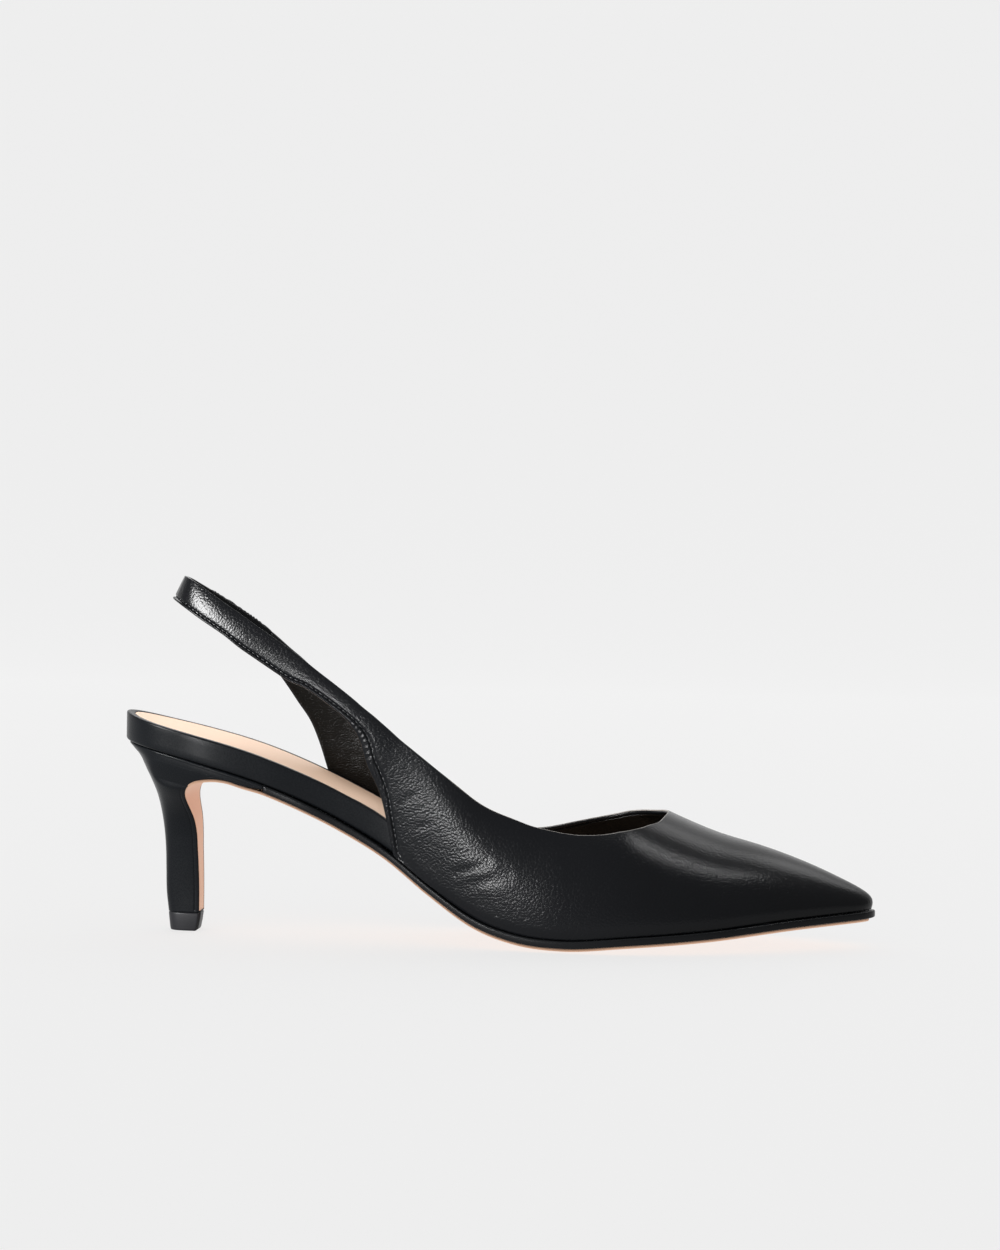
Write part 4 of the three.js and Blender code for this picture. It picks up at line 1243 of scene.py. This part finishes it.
# %% [markdown]
# The top piece is a small block of rubber under the heel's foot. It tapers a little towards the floor,
# and its edges are softly rounded.

# %% Top piece
# Height, and how far front, back and sides stay inside the heel's foot, in millimetres.
tip_steps = (
    (6, 0.35, 0.35, 0.3), (5.8, 0.12, 0.12, 0.05), (5.5, 0.08, 0.08, 0), (3, 0.4, 0.35, 0.05),
    (0.8, 0.82, 0.64, 0.09), (0.3, 0.95, 0.74, 0.14), (0.08, 1.1, 0.85, 0.25), (0, 1.3, 1, 0.4),
)


def tip_rings():
    rings = []
    for z, front, back, narrow in tip_steps:
        widths = {side: w - narrow * MM for side, w in heel_widths(0).items()}
        rings.append(heel_ring(breast_x - front * MM, breast_x - heel_foot_depth + back * MM, widths,
                               lambda x, fore, z=z: z * MM, (1, 0), 0, 0))
    return rings


heel_tip = ring_mesh("rubber_tip", tip_rings(), [tip_rubber], plain_ends=True)
stand_for(heel_tip, "heel_tip")

# %% [markdown]
# The sole is one piece from the toe to the foot of the heel. Behind the shank it turns down the heel's
# front as a tongue, which is as wide as the bed there.

# %% Sole with its tongue
SOLE_ACROSS = 24
SOLE_RINGS = 210


def tongue_ring(front, share, sink, normal, raised):
    widths = heel_widths(share)
    near = 0.1 * MM - sink * (tongue_depth - 0.2 * MM)
    turns = np.linspace(0, math.pi / 2, 6)
    rim = [(tongue_inset - 0.2 * MM + sole_corner * (1 - math.sin(a)),
            near + sole_thickness - sole_corner * (1 - math.cos(a))) for a in turns]
    rim.append((tongue_inset - 0.2 * MM, near))

    def at(side, inset, out):
        return np.array([front[0] + normal[0] * out, side * (widths[side] - inset),
                         front[1] + normal[1] * out + raised])
    outer = [at(-1, *step) for step in rim]
    inner = [at(1, *step) for step in rim]
    spread = np.linspace(0, 1, SOLE_ACROSS + 2)[1:-1]
    over = [mix(outer[-1], inner[-1], t) for t in spread]
    under = [mix(outer[0], inner[0], t) for t in spread]
    half = SOLE_ACROSS // 2
    return under[:half][::-1] + outer + over + inner[::-1] + under[half:][::-1]


flat_places = places_along(heel_seat_length, shoe_length - sole_inset, SOLE_RINGS)
flat_rings = layer_rings(flat_places, sole_steps, SOLE_ACROSS, sole_bottom)
tongue = [tongue_ring(front, share, sink, normal, 0.15 * MM if i == len(breast) - 1 else 0)
          for i, (front, share, sink, normal) in enumerate(zip(breast, wide, sunk, facing))]
turn_rings = through(np.concatenate([tongue[::-1], flat_rings[:2]]), 7)
outsole = ring_mesh("leather_sole", np.concatenate([turn_rings[:-8], flat_rings]), [nude_sole])
stand_for(outsole, "outsole")

# %% [markdown]
# The folded edge is held by one row of stitches that lie in the seam's valley. Their line is found on
# the finished leather, where the distance from the folded edge passes the seam's own distance.

# %% The seam's line
thread_lift = 0.06 * MM
SEAM_OVERRUN = 14


def seam_lines():
    """The seam as runs of points on the leather, with the direction out of it."""
    crossing = (edge_distance[:, :-1] - seam_at[:, :-1]) * (edge_distance[:, 1:] - seam_at[:, 1:]) <= 0
    near_sling = is_sling.copy()
    for corner in corners:
        near_sling |= np.abs(np.arange(len(sheet)) - corner) < SEAM_OVERRUN
    runs, current = [], []
    for i in range(len(sheet)):
        k = int(crossing[i, :30].argmax()) if near_sling[i] else 0
        if near_sling[i] and crossing[i, k]:
            a = edge_distance[i, k] - seam_at[i, k]
            b = edge_distance[i, k + 1] - seam_at[i, k + 1]
            t = a / (a - b) if a != b else 0.5
            on_leather = mix(leather_face[i, k], leather_face[i, k + 1], t)
            current.append(on_leather + sheet_normals[i, k] * thread_lift)
        elif current:
            runs.append(np.array(current))
            current = []
    return [run for run in runs + [np.array(current)] if len(run) > 5]


seam_runs = seam_lines()
print("runs of the seam:", [len(run) for run in seam_runs], "points")

# %% [markdown]
# Bumps in a texture would look flat from the side, so every stitch is a small thread. Geometry nodes walk
# along the seam, set one stitch at every step, turn it along the line and vary its size a little.

# %% Stitches by geometry nodes
stitch_sizes = {"Spacing": 1.9 * MM, "Stitch length": 1.5 * MM, "Thread width": 0.34 * MM}
stitch_seed = 7


def line_object(name, runs):
    points, edges = [], []
    for run in runs:
        start = len(points)
        points += (run + to_frame).tolist()
        edges += [(start + i, start + i + 1) for i in range(len(run) - 1)]
    mesh = bpy.data.meshes.new(name)
    mesh.from_pydata(points, edges, [])
    return new_object(name, mesh)


def stitch_tree():
    tree = bpy.data.node_groups.new("stitches", "GeometryNodeTree")
    face = tree.interface
    face.new_socket("Geometry", in_out="INPUT", socket_type="NodeSocketGeometry")
    for title, value in stitch_sizes.items():
        face.new_socket(title, in_out="INPUT", socket_type="NodeSocketFloat").default_value = value
    face.new_socket("Seed", in_out="INPUT", socket_type="NodeSocketInt").default_value = stitch_seed
    face.new_socket("Thread", in_out="INPUT", socket_type="NodeSocketMaterial")
    face.new_socket("Geometry", in_out="OUTPUT", socket_type="NodeSocketGeometry")
    start, end = tree.nodes.new("NodeGroupInput"), tree.nodes.new("NodeGroupOutput")

    def node(kind, **links):
        made = tree.nodes.new(kind)
        for title, source in links.items():
            tree.links.new(source, made.inputs[title.replace("_", " ")])
        return made
    curve = node("GeometryNodeMeshToCurve", Mesh=start.outputs["Geometry"])
    steps = node("GeometryNodeResampleCurve", Curve=curve.outputs[0])
    steps.mode = "LENGTH"
    tree.links.new(start.outputs["Spacing"], steps.inputs["Length"])
    tangent = tree.nodes.new("GeometryNodeInputTangent")
    turn = node("FunctionNodeAlignRotationToVector", Vector=tangent.outputs[0])
    turn.axis = "X"
    ball = tree.nodes.new("GeometryNodeMeshUVSphere")
    ball.inputs["Segments"].default_value = 8
    ball.inputs["Rings"].default_value = 6
    ball.inputs["Radius"].default_value = 0.5
    size = node("ShaderNodeCombineXYZ", X=start.outputs["Stitch length"], Y=start.outputs["Thread width"],
                Z=start.outputs["Thread width"])
    stitch = node("GeometryNodeTransform", Geometry=ball.outputs[0], Scale=size.outputs[0])
    uneven = node("FunctionNodeRandomValue", Seed=start.outputs["Seed"])
    uneven.inputs[2].default_value = 0.9
    uneven.inputs[3].default_value = 1.1
    placed = node("GeometryNodeInstanceOnPoints", Points=steps.outputs[0], Instance=stitch.outputs[0],
                  Rotation=turn.outputs[0], Scale=uneven.outputs[1])
    real = node("GeometryNodeRealizeInstances", Geometry=placed.outputs[0])
    smooth = node("GeometryNodeSetShadeSmooth", Geometry=real.outputs[0])
    done = node("GeometryNodeSetMaterial", Geometry=smooth.outputs[0], Material=start.outputs["Thread"])
    tree.links.new(done.outputs[0], end.inputs["Geometry"])
    return tree


sewing = stitch_tree()
print("tree:", sewing.name, "with", len(sewing.nodes), "nodes")

# %% [markdown]
# The tree works on a plain line of points. Its result is kept as a mesh of its own, and the line goes.

# %% Sew the edge
def evaluated_copy(source, name, tree, values):
    """The mesh that a node tree makes of an object, as an object of its own."""
    modifier = source.modifiers.new("nodes", "NODES")
    modifier.node_group = tree
    for item in tree.interface.items_tree:
        if item.in_out == "INPUT" and item.name in values:
            modifier[item.identifier] = values[item.name]
    graph = bpy.context.evaluated_depsgraph_get()
    mesh = bpy.data.meshes.new_from_object(source.evaluated_get(graph), depsgraph=graph)
    source.modifiers.remove(modifier)
    bpy.data.objects.remove(source)
    return new_object(name, mesh)


stitches = evaluated_copy(line_object("seam", seam_runs), "stitches", sewing,
                          {**stitch_sizes, "Seed": stitch_seed, "Thread": thread})
stand_for(stitches, "upper")
print("stitches:", len(stitches.data.polygons), "faces")

# %% [markdown]
# The shoe stands in a photographer's cove: a pale floor that curves up into the background without an
# edge, so that only the contact shadows tell where the floor is. The sheet is translucent and lit from
# behind, which is why it glows a little by itself. A second sheet closes the view from the other side and
# is left out of reflections and diffuse light, because the room in front of the shoe is darker.

# %% Floor
PAPER_RADIUS = 1.2
PAPER_HALF_WIDTH = 5.0
PAPER_HEIGHT = 4.5


def paper(name, start, bend):
    """A sheet that lies flat from y = start to y = bend and curves up from there."""
    way = 1 if bend > start else -1
    turns = [math.pi / 2 * k / 24 for k in range(25)]
    profile = [(start, 0)] + [(bend + way * PAPER_RADIUS * math.sin(a), PAPER_RADIUS * (1 - math.cos(a)))
                              for a in turns]
    profile.append((bend + way * PAPER_RADIUS, PAPER_HEIGHT))
    vertices = [(x, y, z) for y, z in profile for x in (-PAPER_HALF_WIDTH, PAPER_HALF_WIDTH)]
    faces = [(2 * i, 2 * i + 1, 2 * i + 3, 2 * i + 2)[::way] for i in range(len(profile) - 1)]
    mesh = bpy.data.meshes.new(name)
    mesh.from_pydata(vertices, [], faces)
    for face in mesh.polygons:
        face.use_smooth = True
    made = new_object(name, mesh)
    mesh.materials.append(floor_paint)
    return made


floor_paint = bpy.data.materials.new("floor paint")
floor_paint.use_nodes = True
paint = floor_paint.node_tree.nodes["Principled BSDF"]
paint.inputs["Base Color"].default_value = (0.25, 0.25, 0.25, 1)
paint.inputs["Emission Color"].default_value = (1, 1, 1, 1)
paint.inputs["Emission Strength"].default_value = 0.72
paint.inputs["Roughness"].default_value = 0.9
paint.inputs["Specular IOR Level"].default_value = 0.1
floor = paper("floor", -3.0, 1.6)
front_paper = paper("front_paper", -3.0, -3.1)
front_paper.visible_glossy = False
front_paper.visible_diffuse = False
print("sheets of paper:", floor.name, front_paper.name)

# %% [markdown]
# Black leather shows its form only by what it mirrors. A standing softbox in front and to the left draws
# the sheen on the quarter and the strap, and a long one overhead and to the right draws the line along
# the vamp. A small one close by adds a highlight low on the quarter, and weak ones above and behind keep
# the rest from going black. All of them leave out the floor and the nude sole, which stay as even as
# paper in the bright room.

# %% Lights
ROOM_LIGHT = 0.42


def soft_light(name, azimuth, elevation, distance, size, radiance, target=AIM):
    data = bpy.data.lights.new(name, "AREA")
    data.shape = "RECTANGLE"
    data.size, data.size_y = size
    data.energy = radiance * math.pi * size[0] * size[1]
    made = new_object(name, data)
    place = direction(math.radians(azimuth), math.radians(elevation)) * distance
    made.location = place + target
    made.rotation_euler = (-place).to_track_quat("-Z", "Y").to_euler()
    made.light_linking.receiver_collection = not_lit
    return made


not_lit = bpy.data.collections.new("left out of the softboxes")
for pale in (floor, outsole):
    not_lit.objects.link(pale)
for member in not_lit.collection_objects:
    member.light_linking.link_state = "EXCLUDE"
soft_light("standing softbox", -50, 18, 1.4, (0.42, 0.42), 95)
soft_light("quarter reflector", -32, 8, 0.5, (0.05, 0.06), 115, Vector((-4, -35, 23)) * MM)
soft_light("vamp strip", 82, 59, 1.3, (0.34, 0.03), 75)
soft_light("rim softbox", 140, 44, 1.3, (0.5, 0.4), 2.2)
soft_light("overhead softbox", 0, 84, 1.2, (0.6, 0.4), 1.5)
soft_light("back softbox", 200, 45, 1.5, (0.9, 0.6), 6)
bpy.context.scene.view_settings.view_transform = "Standard"
world = bpy.data.worlds.new("world")
bpy.context.scene.world = world
world.use_nodes = True
sky = world.node_tree.nodes["Background"]
sky.inputs["Color"].default_value = (1, 1, 1, 1)
sky.inputs["Strength"].default_value = ROOM_LIGHT
print("lights:", len(bpy.data.lights))
